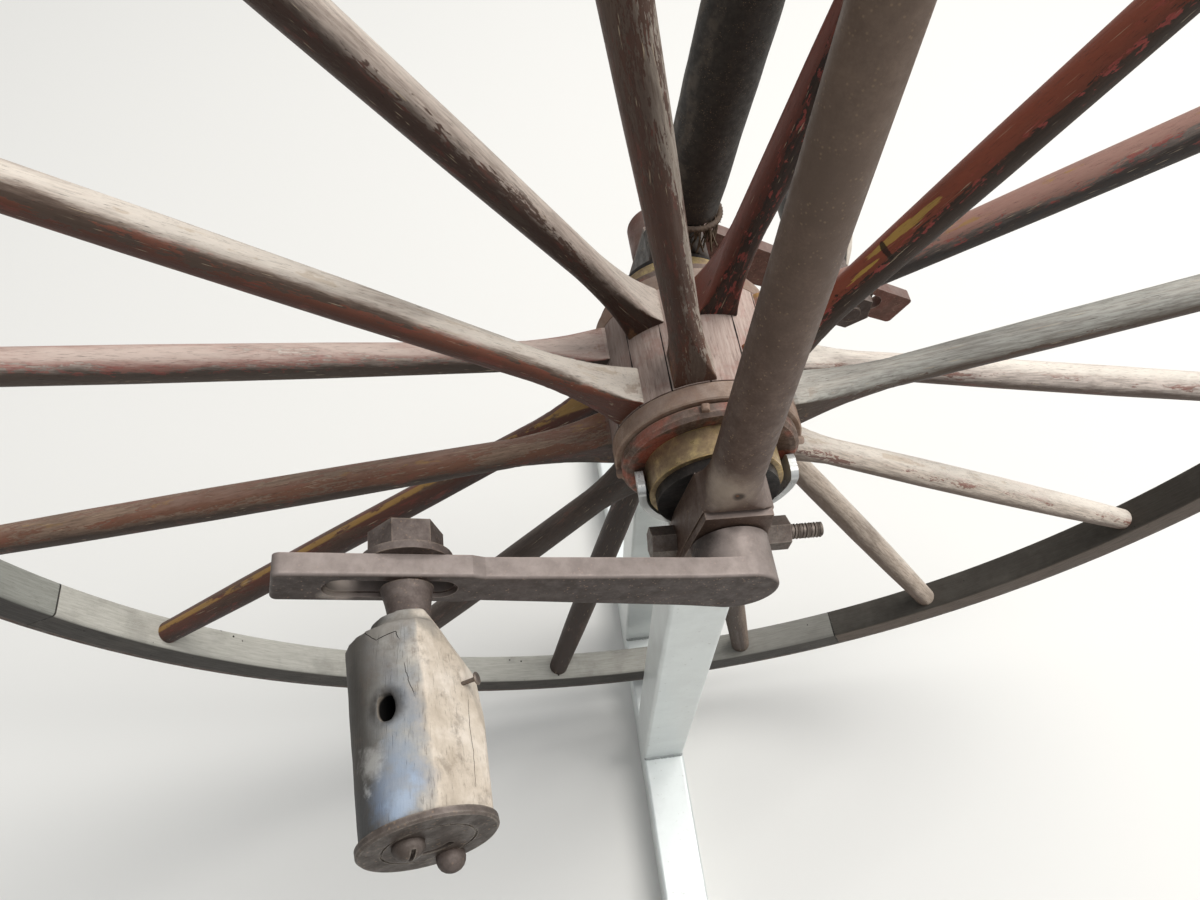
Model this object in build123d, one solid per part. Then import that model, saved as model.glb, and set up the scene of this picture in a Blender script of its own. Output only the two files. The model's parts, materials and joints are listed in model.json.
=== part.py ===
from build123d import *
import math
import os

# Front wheel and fork of an early high-wheel bicycle on its display stand, in millimetres.
# Forward is -X, up is +Z and the rider's left is -Y. The shapes are drawn about the wheel's
# centre and moved at the end, so that the origin lies on the steering stem's seat.

# Rim: four sawn wooden felloes inside one flat iron tyre.
FELLOE_INNER_R = 460.0
FELLOE_DEPTH = 25.0
RIM_WIDTH = 24.6
FELLOE_COUNT = 4
FELLOE_JOINT_GAP = 0.2
TYRE_THICKNESS = 5.0
TYRE_EDGE_BEVEL = 1.2
FELLOE_EDGE_ROUND = 3.0

# Spokes: two rows at the hub that meet on the rim's middle line.
SPOKE_COUNT = 16
SPOKE_START_ANGLE = 100.8
SPOKE_ROW_OFFSET = 20.6
SPOKE_RIM_R = 8.4
SPOKE_BELLY_R = 9.5
SPOKE_BELLY_LENGTH = 200.0
SPOKE_FOOT_SUNK = 5.0
SPOKE_NECK_R = 8.1

# A spoke's foot from the nave outwards: height above the nave, width along the axle, width across
# and the rounding of its corners, until it is as round as the neck.
SPOKE_FOOT = [
    (0.0, 22.0, 21.6, 0.8),
    (7.0, 21.4, 18.6, 1.6),
    (16.0, 20.0, 16.8, 3.4),
    (28.0, 18.4, 16.0, 5.6),
    (42.0, 17.0, 16.0, 7.4),
]
SPOKE_NECK_HEIGHT = 58.0

# The spokes' tenons are let into the nave and the felloes.
TENON_WIDTH = 13.0
TENON_DEPTH = 20.0
RIM_TENON_R = 6.0
RIM_TENON_DEPTH = 15.0

# Hub, listed from the wheel's middle outwards. Each end position is a distance along the axle.
NAVE_R = 50.0
NAVE_SHOULDER_AT = 32.0
BAND_THICKNESS = 9.0
BAND_END_AT = 42.2
BAND_EDGE_BEVEL = 0.8
GROOVE_WIDTH = 0.9
GROOVE_DEPTH = 6.0
END_RING_STEP = 3.0
END_RING_RIM = 5.0
END_RING_DISH_DEPTH = 1.5
END_RING_AT = 49.5
END_RING_BEVEL = 2.0
COLLAR_R = 35.0
COLLAR_AT = 64.2
WASHER_R = 32.0
WASHER_AT = 69.9
AXLE_R = 12.0
SEAT_CLEARANCE = 0.05

# Fork: round iron legs that lean back with the steering line and close in towards the crown.
RAKE = 4.77
LEG_LINE_X = -2.2
LEG_SPREAD_AT_AXLE = 84.8
LEG_LEAN_IN = 0.09
LEG_FOOT_R = 13.0
LEG_TOP_R = 11.0
LEG_FOOT_AT = 47.0

# The flare from block to leg: height as a share of the way up, how much of the block's spread is
# left there, and how round the corners are against the leg's own radius.
FLARE = [
    (0.16, 0.55, 0.30),
    (0.36, 0.26, 0.60),
    (0.64, 0.08, 0.86),
    (1.0, 0.0, 1.0),
]
BLOCK_WIDTH = 43.0
BLOCK_TOP_WIDTH = 35.2
BLOCK_INNER_AT = 69.95
BLOCK_DEPTH = 22.0
BLOCK_TOP_AT = 27.0
BLOCK_SIDE_AT = -12.0
BLOCK_BOTTOM_AT = -40.0
BLOCK_EDGE_ROUND = 1.2
WASHER_RELIEF_CLEARANCE = 0.2
BEARING_CLEARANCE = 0.06
CLAMP_SLIT_WIDTH = 3.0
PLATE_THICKNESS = 4.0
PLATE_INSET = 0.8
CROWN_CLEARANCE = 18.0
CROWN_HEIGHT = 40.0
CROWN_DEPTH = 32.0
CROWN_CHEEK = 15.0
CROWN_SIDE_HEIGHT = 15.0
CROWN_SHOULDER_BULGE = 5.0
CROWN_ARCH_RISE = 9.0
CROWN_END_FLAT = 3.0
CROWN_BOSS_DEPTH = 24.0
SEAT_COLLAR_R = 20.0
SEAT_COLLAR_HEIGHT = 12.0
STEM_R = 14.0
STEM_LENGTH = 120.0
STEM_CHAMFER = 2.0

# Clamp bolt across each block, under the axle.
BOLT_R = 4.0
BOLT_HOLE_CLEARANCE = 0.2
BOLT_BELOW_AXLE = 25.5
BOLT_HEAD_WIDTH = 15.0
BOLT_HEAD_HEIGHT = 13.0
BOLT_WASHER_R = 9.5
BOLT_WASHER_THICKNESS = 3.0
BOLT_NUT_WIDTH = 16.0
BOLT_NUT_HEIGHT = 16.0
BOLT_TAIL = 19.5
BOLT_TAIL_R = 3.5

# Cranks: flat bars forged in one with a round boss, with a slot for the pedal pin.
CRANK_THICKNESS = 10.0
CRANK_LEFT_LENGTH = 215.0
CRANK_RIGHT_LENGTH = 206.0
CRANK_BOSS_R = 19.5
CRANK_OUTER_AT = 123.0
CRANK_BOSS_GAP = 1.0
CRANK_ROOT_WIDTH = 34.0
CRANK_ROOT_AT = 24.0
CRANK_NECK_WIDTH = 24.5
CRANK_NECK_AT = 128.0
CRANK_HEAD_WIDTH = 28.0
CRANK_HEAD_END_WIDTH = 25.4
CRANK_HEAD_RAMP = 6.0
CRANK_EDGE_ROUND = 1.6
CRANK_WALL_AT_END = 3.0
SLOT_START_AT = 139.7
SLOT_MARGIN = 21.5
SLOT_RECESS_WIDTH = 17.0
SLOT_RECESS_DEPTH = 2.0

# Pedals: turned barrels on a shouldered pin. Distances run along the pin from the crank's face.
PIN_STEM_R = 7.0
PIN_STEM_END_AT = 94.0
PIN_FLARE_R = 11.4
PIN_NECK_R = 8.8
PIN_NECK_HOLLOW = 0.7
PIN_NECK_END_AT = 18.0
PIN_R = 6.0
PIN_HEAD_R = 11.0
PIN_HEAD_LENGTH = 8.0
PIN_LEFT_PLACE = 159.8
PIN_RIGHT_PLACE = 151.0
PIN_LEFT_RISE = 7.0
PIN_LEFT_SWING = 4.2
PIN_NUT_WIDTH = 28.5
PIN_NUT_HEIGHT = 13.0
PIN_WASHER_R = 20.0
PIN_WASHER_THICKNESS = 3.6
PEDAL_END_PLAY = 0.3
PEDAL_RUNNING_CLEARANCE = 0.06
PEDAL_INNER_R = 26.5
PEDAL_OUTER_R = 24.3
PEDAL_SHOULDER_R = 10.0
PEDAL_LENGTH = 84.0
PEDAL_POCKET_R = 12.0
PEDAL_POCKET_DEPTH = 14.0
PEDAL_PLATE_R = 25.8
PEDAL_PLATE_THICKNESS = 3.2
PEDAL_PLATE_BEVEL = 0.9
PLATE_LINE_R = 17.0
PLATE_LINE_WIDTH = 0.8
PLATE_LINE_DEPTH = 0.4
PLATE_SLOT_R = 8.6
PLATE_SLOT_WIDTH = 3.2
PLATE_SLOT_START = -124.0
PLATE_SLOT_SWEEP = 82.0
PEDAL_END_SKEW = 5.0
OIL_HOLE_LENGTH = 10.5
OIL_HOLE_WIDTH = 6.5
OIL_HOLE_AT = 43.5
OIL_HOLE_TURN = 108.0

# Faces that feet have worn on each pedal: the turn from +X towards the top, the distance from the
# pedal's start, the radius left there and the slope away from it.
PEDAL_FLATS = [
    (38.0, 0.0, 21.0, 0.0),
    (10.0, 0.0, 10.0, 25.5),
    (10.0, 22.0, 20.5, 9.0),
]

# One row for each side: name, sign along Y, crank angle, crank length, pin's place on the crank,
# rise of the pedal from level and its swing towards the back.
SIDES = [
    ("left", -1, 161.3, CRANK_LEFT_LENGTH, PIN_LEFT_PLACE, PIN_LEFT_RISE, PIN_LEFT_SWING),
    ("right", 1, 331.6, CRANK_RIGHT_LENGTH, PIN_RIGHT_PLACE, 0.0, 0.0),
]

# Display stand: square tube with a flat-bar cradle under each brass collar.
TUBE_WIDTH = 40.0
TUBE_WALL = 2.0
TUBE_CORNER_R = 3.0
CROSSBAR_LENGTH = 600.0
CROSSBAR_CLEARANCE = 30.0
UPRIGHT_INNER_AT = 42.0
UPRIGHT_TOP_AT = -55.0
UPRIGHT_CAP = 3.0
CRADLE_INNER_R = 38.0
CRADLE_GAP = 0.3
CRADLE_OFFSET = 1.0
CRADLE_THICKNESS = 4.0
CRADLE_START_AT = 50.5
CRADLE_WIDTH = 15.0
CRADLE_ARM_LENGTH = 3.0
CRADLE_ARM_ROUND = 5.0
CRADLE_FOOT_WIDTH = 24.0

NAVE_CORE_R = NAVE_R - BAND_THICKNESS
BAND_R = NAVE_R
END_RING_LIP_R = BAND_R - GROOVE_DEPTH
END_RING_R = BAND_R - END_RING_STEP
END_RING_DISH_R = END_RING_R - END_RING_RIM
TYRE_INNER_R = FELLOE_INNER_R + FELLOE_DEPTH
TYRE_R = TYRE_INNER_R + TYRE_THICKNESS
BLOCK_OUTER_AT = BLOCK_INNER_AT + BLOCK_DEPTH
PLATE_OUTER_AT = BLOCK_OUTER_AT + PLATE_THICKNESS
PLATE_TOP_WIDTH = BLOCK_TOP_WIDTH - 2 * PLATE_INSET
PLATE_WIDTH = BLOCK_WIDTH - 2 * PLATE_INSET
CROWN_UNDERSIDE_AT = TYRE_R + CROWN_CLEARANCE
CROSSBAR_TOP_AT = -TYRE_R - CROSSBAR_CLEARANCE
CRANK_INNER_AT = CRANK_OUTER_AT - CRANK_THICKNESS
BOSS_INNER_AT = PLATE_OUTER_AT + CRANK_BOSS_GAP
AXLE_HALF_LENGTH = CRANK_OUTER_AT - CRANK_WALL_AT_END
SLOT_WIDTH = 2 * (PIN_STEM_R + SEAT_CLEARANCE)
PEDAL_START_AT = PIN_NECK_END_AT + PEDAL_END_PLAY
PEDAL_END_AT = PEDAL_START_AT + PEDAL_LENGTH
PEDAL_POCKET_AT = PEDAL_END_AT - PEDAL_POCKET_DEPTH
PIN_HEAD_AT = PEDAL_POCKET_AT + PEDAL_END_PLAY
SPOKE_LEAN = math.degrees(math.asin(SPOKE_ROW_OFFSET / (FELLOE_INNER_R - NAVE_R)))
SEAT_AT = CROWN_UNDERSIDE_AT + CROWN_HEIGHT + SEAT_COLLAR_HEIGHT

FORK_TILT = Rot(0, RAKE, 0)
STEM_SEAT = FORK_TILT * Pos(LEG_LINE_X, 0, SEAT_AT)
TO_ORIGIN = Pos(*(-STEM_SEAT.position))

parts = {}


def turned(angle):
    """A turn about the axle that takes +X towards +Z by the angle in degrees."""
    return Rot(0, -angle, 0)


def disc(radius, start, end):
    """A round bar along Y between two distances from the wheel's middle."""
    return Plane(origin=(0, start, 0), z_dir=(0, 1, 0)) * extrude(Circle(radius), end - start)


def ring(outer, inner, start, end):
    return disc(outer, start, end) - disc(inner, start, end)


def on_side(shape, sign):
    """Shapes are drawn on the left, at -Y, and mirrored for the right."""
    return shape if sign < 0 else mirror(shape, about=Plane.XZ)


def spoke_place(index):
    """Where one spoke lies: it is drawn along +X, with distances from the wheel's centre."""
    row = -1 if index % 2 == 0 else 1
    lean = Pos(FELLOE_INNER_R, 0, 0) * Rot(0, 0, -row * SPOKE_LEAN) * Pos(-FELLOE_INNER_R, 0, 0)
    return turned(SPOKE_START_ANGLE + index * 360 / SPOKE_COUNT) * lean


def across(at):
    """A section plane square to the spoke, with its first direction along the axle."""
    return Plane(origin=(at, 0, 0), x_dir=(0, 1, 0), z_dir=(1, 0, 0))


def tenon(clearance):
    size = TENON_WIDTH + 2 * clearance
    start = NAVE_R - TENON_DEPTH - clearance
    return across(start) * extrude(Rectangle(size, size), TENON_DEPTH + SPOKE_FOOT_SUNK / 5)


def rim_tenon(clearance):
    start = FELLOE_INNER_R - SPOKE_RIM_R
    length = SPOKE_RIM_R + RIM_TENON_DEPTH + clearance
    return across(start) * extrude(Circle(RIM_TENON_R + clearance), length)


def spoke():
    """A square-edged foot on the nave that is drawn out to a round neck, then a turned body."""
    neck_at = NAVE_R + SPOKE_NECK_HEIGHT
    end = FELLOE_INNER_R + SPOKE_FOOT_SUNK
    first = SPOKE_FOOT[0]
    buried = across(NAVE_R - SPOKE_FOOT_SUNK) * extrude(
        RectangleRounded(first[1], first[2], first[3]), SPOKE_FOOT_SUNK)
    sections = [across(NAVE_R + height) * RectangleRounded(along_axle, width, corner)
                for height, along_axle, width, corner in SPOKE_FOOT]
    almost_round = SPOKE_NECK_R - SEAT_CLEARANCE
    sections.append(across(neck_at) * RectangleRounded(2 * SPOKE_NECK_R, 2 * SPOKE_NECK_R,
                                                       almost_round))
    foot = loft(sections)
    axis = Polyline((end, SPOKE_RIM_R), (end, 0), (neck_at, 0), (neck_at, SPOKE_NECK_R))
    belly = ThreePointArc((neck_at, SPOKE_NECK_R), (NAVE_R + SPOKE_BELLY_LENGTH, SPOKE_BELLY_R),
                          (end, SPOKE_RIM_R))
    return buried + foot + revolve(make_face(axis + belly), Axis.X, 360)


def placed_spoke(index):
    place = spoke_place(index)
    nave_space = disc(NAVE_R + SEAT_CLEARANCE, -NAVE_R, NAVE_R)
    rim_space = disc(FELLOE_INNER_R - SEAT_CLEARANCE, -NAVE_R, NAVE_R)
    body = (place * spoke() - nave_space) & rim_space
    return body + place * tenon(0) + place * rim_tenon(0)


def felloe(index):
    gap = math.degrees(FELLOE_JOINT_GAP / FELLOE_INNER_R)
    share = 360 / FELLOE_COUNT
    middle = FELLOE_INNER_R + FELLOE_DEPTH / 2
    section = Pos(middle, 0) * Rectangle(FELLOE_DEPTH, RIM_WIDTH)
    section = fillet(section.vertices().group_by(Axis.X)[0], FELLOE_EDGE_ROUND)
    start = SPOKE_START_ANGLE + 180 / SPOKE_COUNT + index * share
    body = turned(start + share) * revolve(section, Axis.Y, share - gap)
    per_felloe = SPOKE_COUNT // FELLOE_COUNT
    for spoke_index in range(1 + index * per_felloe, 1 + (index + 1) * per_felloe):
        body -= spoke_place(spoke_index) * rim_tenon(SEAT_CLEARANCE)
    return body


def tyre():
    middle = TYRE_INNER_R + TYRE_THICKNESS / 2
    section = Pos(middle, 0) * Rectangle(TYRE_THICKNESS, RIM_WIDTH)
    section = chamfer(section.vertices().group_by(Axis.X)[-1], TYRE_EDGE_BEVEL)
    return revolve(section, Axis.Y, 360)


def nave():
    body = disc(NAVE_R, -NAVE_SHOULDER_AT, NAVE_SHOULDER_AT)
    body += disc(NAVE_CORE_R, -BAND_END_AT, BAND_END_AT)
    for index in range(SPOKE_COUNT):
        body -= spoke_place(index) * tenon(SEAT_CLEARANCE)
    return body - disc(AXLE_R + SEAT_CLEARANCE, -BAND_END_AT, BAND_END_AT)


def nave_band():
    """The iron hoop on the nave's end, with its outer edges bevelled."""
    inner = NAVE_CORE_R + SEAT_CLEARANCE
    start = NAVE_SHOULDER_AT + SEAT_CLEARANCE
    section = Pos((inner + BAND_R) / 2, -(BAND_END_AT + start) / 2) * Rectangle(
        BAND_R - inner, BAND_END_AT - start)
    section = chamfer(section.vertices().group_by(Axis.X)[-1], BAND_EDGE_BEVEL)
    return revolve(section, Axis.Y, 360)


def end_ring():
    """The ring that closes the nave's end: a neck in the groove, a bevelled edge and a dished face."""
    bore = AXLE_R + SEAT_CLEARANCE
    seat = COLLAR_R + SEAT_CLEARANCE
    step = BAND_END_AT + GROOVE_WIDTH
    dish = END_RING_AT - END_RING_DISH_DEPTH
    outline = Polyline(
        (bore, -BAND_END_AT), (END_RING_LIP_R, -BAND_END_AT), (END_RING_LIP_R, -step),
        (END_RING_R, -step), (END_RING_R, -(END_RING_AT - END_RING_BEVEL)),
        (END_RING_R - END_RING_BEVEL, -END_RING_AT), (END_RING_DISH_R, -END_RING_AT),
        (seat, -dish), (bore, -dish), (bore, -BAND_END_AT))
    return revolve(make_face(outline), Axis.Y, 360)


def crank(length):
    """A crank along +X on the left side: boss, tapering bar and slotted head."""
    half_head = CRANK_HEAD_WIDTH / 2
    half_end = CRANK_HEAD_END_WIDTH / 2
    ramp_end = CRANK_NECK_AT + CRANK_HEAD_RAMP
    upper = [
        (0, CRANK_BOSS_R), (CRANK_ROOT_AT, CRANK_ROOT_WIDTH / 2),
        (CRANK_NECK_AT, CRANK_NECK_WIDTH / 2), (ramp_end, half_head), (length, half_end)]
    lower = [(x, -y) for x, y in reversed(upper)]
    bar = make_face(Polyline(*upper, *lower, upper[0]))
    outer = bar.vertices().group_by(Axis.X)[-1]
    bar = fillet(outer, CRANK_EDGE_ROUND * 2) + Circle(CRANK_BOSS_R)
    inner_face = Plane(origin=(0, -CRANK_INNER_AT, 0), x_dir=(1, 0, 0), z_dir=(0, -1, 0))
    body = inner_face * extrude(bar, CRANK_THICKNESS)
    long_edges = body.edges().filter_by(Axis.Y, reverse=True)
    outer_edges = long_edges.group_by(Axis.Y)[0]
    body = fillet(outer_edges, CRANK_EDGE_ROUND)
    body += disc(CRANK_BOSS_R, -CRANK_INNER_AT - CRANK_THICKNESS / 2, -BOSS_INNER_AT)
    slot_end = length - SLOT_MARGIN
    slot_length = slot_end - SLOT_START_AT
    slot_middle = (slot_end + SLOT_START_AT) / 2
    slot = Pos(slot_middle, 0) * SlotOverall(slot_length, SLOT_WIDTH)
    body -= inner_face * extrude(slot, CRANK_THICKNESS * 2)
    recess_length = slot_length + SLOT_RECESS_WIDTH - SLOT_WIDTH
    recess = Pos(slot_middle, 0) * SlotOverall(recess_length, SLOT_RECESS_WIDTH)
    recess_plane = Plane(origin=(0, -CRANK_OUTER_AT + SLOT_RECESS_DEPTH, 0), x_dir=(1, 0, 0),
                         z_dir=(0, -1, 0))
    body -= recess_plane * extrude(recess, CRANK_THICKNESS)
    return body - disc(AXLE_R + SEAT_CLEARANCE, -AXLE_HALF_LENGTH, 0)


def hexagon(width):
    return RegularPolygon(width / 2, 6, major_radius=False)


def pin_foot(angle, pin_at):
    """The pedal pin's place on the left crank, with +Z outwards and square to the crank."""
    return turned(angle) * Plane(origin=(pin_at, -CRANK_OUTER_AT, 0), x_dir=(1, 0, 0),
                                 z_dir=(0, -1, 0)).location


def pedal_line(angle, pin_at, tilt, swing):
    """The same place with +Z along the pedal, which leans up by tilt and back by swing."""
    rise = math.radians(tilt)
    yaw = math.radians(swing)
    outwards = (math.sin(yaw) * math.cos(rise), -math.cos(yaw) * math.cos(rise), math.sin(rise))
    foot = pin_foot(angle, pin_at).position
    return Plane(origin=foot, x_dir=(math.cos(yaw), math.sin(yaw), 0), z_dir=outwards).location


def pedal_pin(foot, line):
    """Threaded stem in the crank's slot, flared neck outside it and a headed spindle."""
    start = -PIN_STEM_R
    middle = (PIN_NECK_END_AT / 2, (PIN_FLARE_R + PIN_NECK_R) / 2 - PIN_NECK_HOLLOW)
    edge = Polyline((PIN_FLARE_R, 0), (PIN_FLARE_R, start), (0, start), (0, PIN_NECK_END_AT),
                    (PIN_NECK_R, PIN_NECK_END_AT))
    hollow = ThreePointArc((PIN_NECK_R, PIN_NECK_END_AT), (middle[1], middle[0]), (PIN_FLARE_R, 0))
    neck = revolve(Plane.XZ * make_face(edge + hollow), Axis.Z, 360)
    spindle = extrude(Circle(PIN_R), PIN_HEAD_AT + PIN_HEAD_LENGTH)
    head = Pos(0, 0, PIN_HEAD_AT) * extrude(Circle(PIN_HEAD_R), PIN_HEAD_LENGTH)
    stem_length = CRANK_OUTER_AT - PIN_STEM_END_AT
    stem = Pos(0, 0, -stem_length) * extrude(Circle(PIN_STEM_R), stem_length + PIN_STEM_R / 2)
    behind = Pos(0, 0, -stem_length) * extrude(Circle(2 * PIN_FLARE_R), stem_length)
    return line * (neck + spindle + head) - foot * behind + foot * stem


def pedal_end(line):
    """The place of the end plate, which sits a little askew across the pedal."""
    return line * Pos(0, 0, PEDAL_END_AT) * Rot(0, PEDAL_END_SKEW, 0)


def pedal_barrel(line):
    bore = PIN_R + PEDAL_RUNNING_CLEARANCE
    corner = PEDAL_START_AT + PEDAL_SHOULDER_R
    shoulder = PEDAL_INNER_R - PEDAL_SHOULDER_R
    past_end = PEDAL_END_AT + PEDAL_SHOULDER_R
    outline = Polyline((shoulder, PEDAL_START_AT), (bore, PEDAL_START_AT), (bore, PEDAL_POCKET_AT),
                       (PEDAL_POCKET_R, PEDAL_POCKET_AT), (PEDAL_POCKET_R, past_end),
                       (PEDAL_OUTER_R, past_end), (PEDAL_OUTER_R, PEDAL_END_AT),
                       (PEDAL_INNER_R, corner))
    round_end = RadiusArc((PEDAL_INNER_R, corner), (shoulder, PEDAL_START_AT), -PEDAL_SHOULDER_R)
    body = revolve(Plane.XZ * make_face(outline + round_end), Axis.Z, 360)
    worn_off = 4 * PEDAL_INNER_R
    for turn, start, radius, slope in PEDAL_FLATS:
        face = Rot(0, 0, turn) * Pos(radius, 0, PEDAL_START_AT + start) * Rot(0, slope, 0)
        body -= face * Pos(worn_off / 2, 0, 0) * Box(worn_off, worn_off, 2 * worn_off)
    hole = Rot(0, 0, OIL_HOLE_TURN) * Plane(
        origin=(0, 0, PEDAL_START_AT + OIL_HOLE_AT), x_dir=(0, 0, 1), z_dir=(1, 0, 0)).location
    body -= hole * extrude(SlotOverall(OIL_HOLE_LENGTH, OIL_HOLE_WIDTH), 2 * PEDAL_INNER_R)
    beyond = pedal_end(line) * Pos(0, 0, PEDAL_INNER_R) * Box(
        worn_off, worn_off, 2 * PEDAL_INNER_R)
    return line * body - beyond


def pedal_plate(line):
    """The end plate, with a turned line and the curved slot through which the pin is oiled."""
    top = SEAT_CLEARANCE + PEDAL_PLATE_THICKNESS
    plate = Pos(0, 0, SEAT_CLEARANCE) * extrude(Circle(PEDAL_PLATE_R), PEDAL_PLATE_THICKNESS)
    plate = chamfer(plate.edges().group_by(Axis.Z)[-1], PEDAL_PLATE_BEVEL)
    half_line = PLATE_LINE_WIDTH / 2
    line_shape = Circle(PLATE_LINE_R + half_line) - Circle(PLATE_LINE_R - half_line)
    plate -= Pos(0, 0, top - PLATE_LINE_DEPTH) * extrude(line_shape, PEDAL_PLATE_THICKNESS)
    curve = CenterArc((0, 0), PLATE_SLOT_R, PLATE_SLOT_START, PLATE_SLOT_SWEEP)
    plate -= extrude(SlotArc(curve, PLATE_SLOT_WIDTH), 2 * top)
    return pedal_end(line) * plate


def pin_nut():
    """Washer and nut on the crank's inner side, around the pin's stem."""
    height = PIN_WASHER_THICKNESS + PIN_NUT_HEIGHT
    start = CRANK_THICKNESS + SEAT_CLEARANCE
    washer = Pos(0, 0, -start - PIN_WASHER_THICKNESS) * extrude(Circle(PIN_WASHER_R),
                                                                PIN_WASHER_THICKNESS)
    nut = Pos(0, 0, -start - height) * extrude(hexagon(PIN_NUT_WIDTH), height)
    bore = Pos(0, 0, -start - height) * extrude(Circle(PIN_STEM_R + SEAT_CLEARANCE), height)
    return washer + nut - bore


def block_outline(top_width, width):
    """The block's front view: it widens from its top to its sides and has a level foot."""
    half_top = top_width / 2
    half = width / 2
    right = [(half_top, BLOCK_TOP_AT), (half, BLOCK_SIDE_AT), (half, BLOCK_BOTTOM_AT)]
    left = [(-x, z) for x, z in reversed(right)]
    return make_face(Polyline(*right, *left, right[0]))


def fork_leg():
    """Leg, bearing block and the flare between them in the fork's own frame, left side."""
    block_middle = -(BLOCK_INNER_AT + BLOCK_DEPTH / 2)
    back = Plane(origin=(0, -BLOCK_INNER_AT, 0), x_dir=(1, 0, 0), z_dir=(0, -1, 0))
    block = back * extrude(block_outline(BLOCK_TOP_WIDTH, BLOCK_WIDTH), BLOCK_DEPTH)
    block = fillet(block.edges().filter_by(Axis.Y).group_by(Axis.Z)[0], 2 * BLOCK_EDGE_ROUND)

    def leg_at(z):
        return (LEG_LINE_X, -(LEG_SPREAD_AT_AXLE - LEG_LEAN_IN * z), z)

    rise = LEG_FOOT_AT - BLOCK_TOP_AT
    leg_width = 2 * LEG_FOOT_R
    flare_sections = [Plane(origin=(0, block_middle, BLOCK_TOP_AT)) * RectangleRounded(
        BLOCK_TOP_WIDTH, BLOCK_DEPTH, BLOCK_EDGE_ROUND)]
    for height, spread, corner in FLARE:
        width = leg_width + spread * (BLOCK_TOP_WIDTH - leg_width)
        depth = leg_width + spread * (BLOCK_DEPTH - leg_width)
        at = leg_at(BLOCK_TOP_AT + height * rise)
        flare_sections.append(Plane(origin=(at[0] * (1 - spread), at[1], at[2])) * RectangleRounded(
            width, depth, corner * (LEG_FOOT_R - SEAT_CLEARANCE)))
    flare = loft(flare_sections, ruled=True)
    leg = loft([Plane(origin=leg_at(LEG_FOOT_AT)) * Circle(LEG_FOOT_R),
                Plane(origin=leg_at(CROWN_UNDERSIDE_AT)) * Circle(LEG_TOP_R)], ruled=True)
    whole = block + flare + leg
    whole -= disc(AXLE_R + BEARING_CLEARANCE, -BLOCK_OUTER_AT, -BLOCK_INNER_AT)
    whole -= disc(WASHER_R + WASHER_RELIEF_CLEARANCE, -BLOCK_INNER_AT, 0)
    slit_height = -BLOCK_BOTTOM_AT
    whole -= Pos(0, block_middle, BLOCK_BOTTOM_AT + slit_height / 2) * Box(
        CLAMP_SLIT_WIDTH, BLOCK_DEPTH, slit_height)
    hole = Plane(origin=(-BLOCK_WIDTH, block_middle, -BOLT_BELOW_AXLE), z_dir=(1, 0, 0))
    return whole - hole * extrude(Circle(BOLT_R + BOLT_HOLE_CLEARANCE), 2 * BLOCK_WIDTH)


def clamp_bolt():
    """Bolt head in front of the block, with washer, nut and bare thread behind it."""
    middle = -(BLOCK_INNER_AT + BLOCK_DEPTH / 2)
    half = BLOCK_WIDTH / 2 + SEAT_CLEARANCE
    head_side = Plane(origin=(-half, middle, -BOLT_BELOW_AXLE), z_dir=(-1, 0, 0))
    nut_side = Plane(origin=(half, middle, -BOLT_BELOW_AXLE), z_dir=(1, 0, 0))
    grip = BOLT_WASHER_THICKNESS + BOLT_NUT_HEIGHT
    head = head_side * extrude(hexagon(BOLT_HEAD_WIDTH), BOLT_HEAD_HEIGHT)
    washer = nut_side * extrude(Circle(BOLT_WASHER_R), BOLT_WASHER_THICKNESS)
    nut = nut_side * extrude(hexagon(BOLT_NUT_WIDTH), grip)
    shank_start = Plane(origin=(-half, middle, -BOLT_BELOW_AXLE), z_dir=(1, 0, 0))
    shank = shank_start * extrude(Circle(BOLT_R), 2 * half + grip)
    tail = shank_start * extrude(Circle(BOLT_TAIL_R), 2 * half + grip + BOLT_TAIL)
    return head + washer + nut + shank + tail


def front_plate():
    face = Plane(origin=(0, -BLOCK_OUTER_AT - SEAT_CLEARANCE, 0), x_dir=(1, 0, 0), z_dir=(0, -1, 0))
    plate = face * extrude(block_outline(PLATE_TOP_WIDTH, PLATE_WIDTH), PLATE_THICKNESS)
    return plate - disc(AXLE_R + BEARING_CLEARANCE, -CRANK_INNER_AT, -BLOCK_OUTER_AT)


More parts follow.
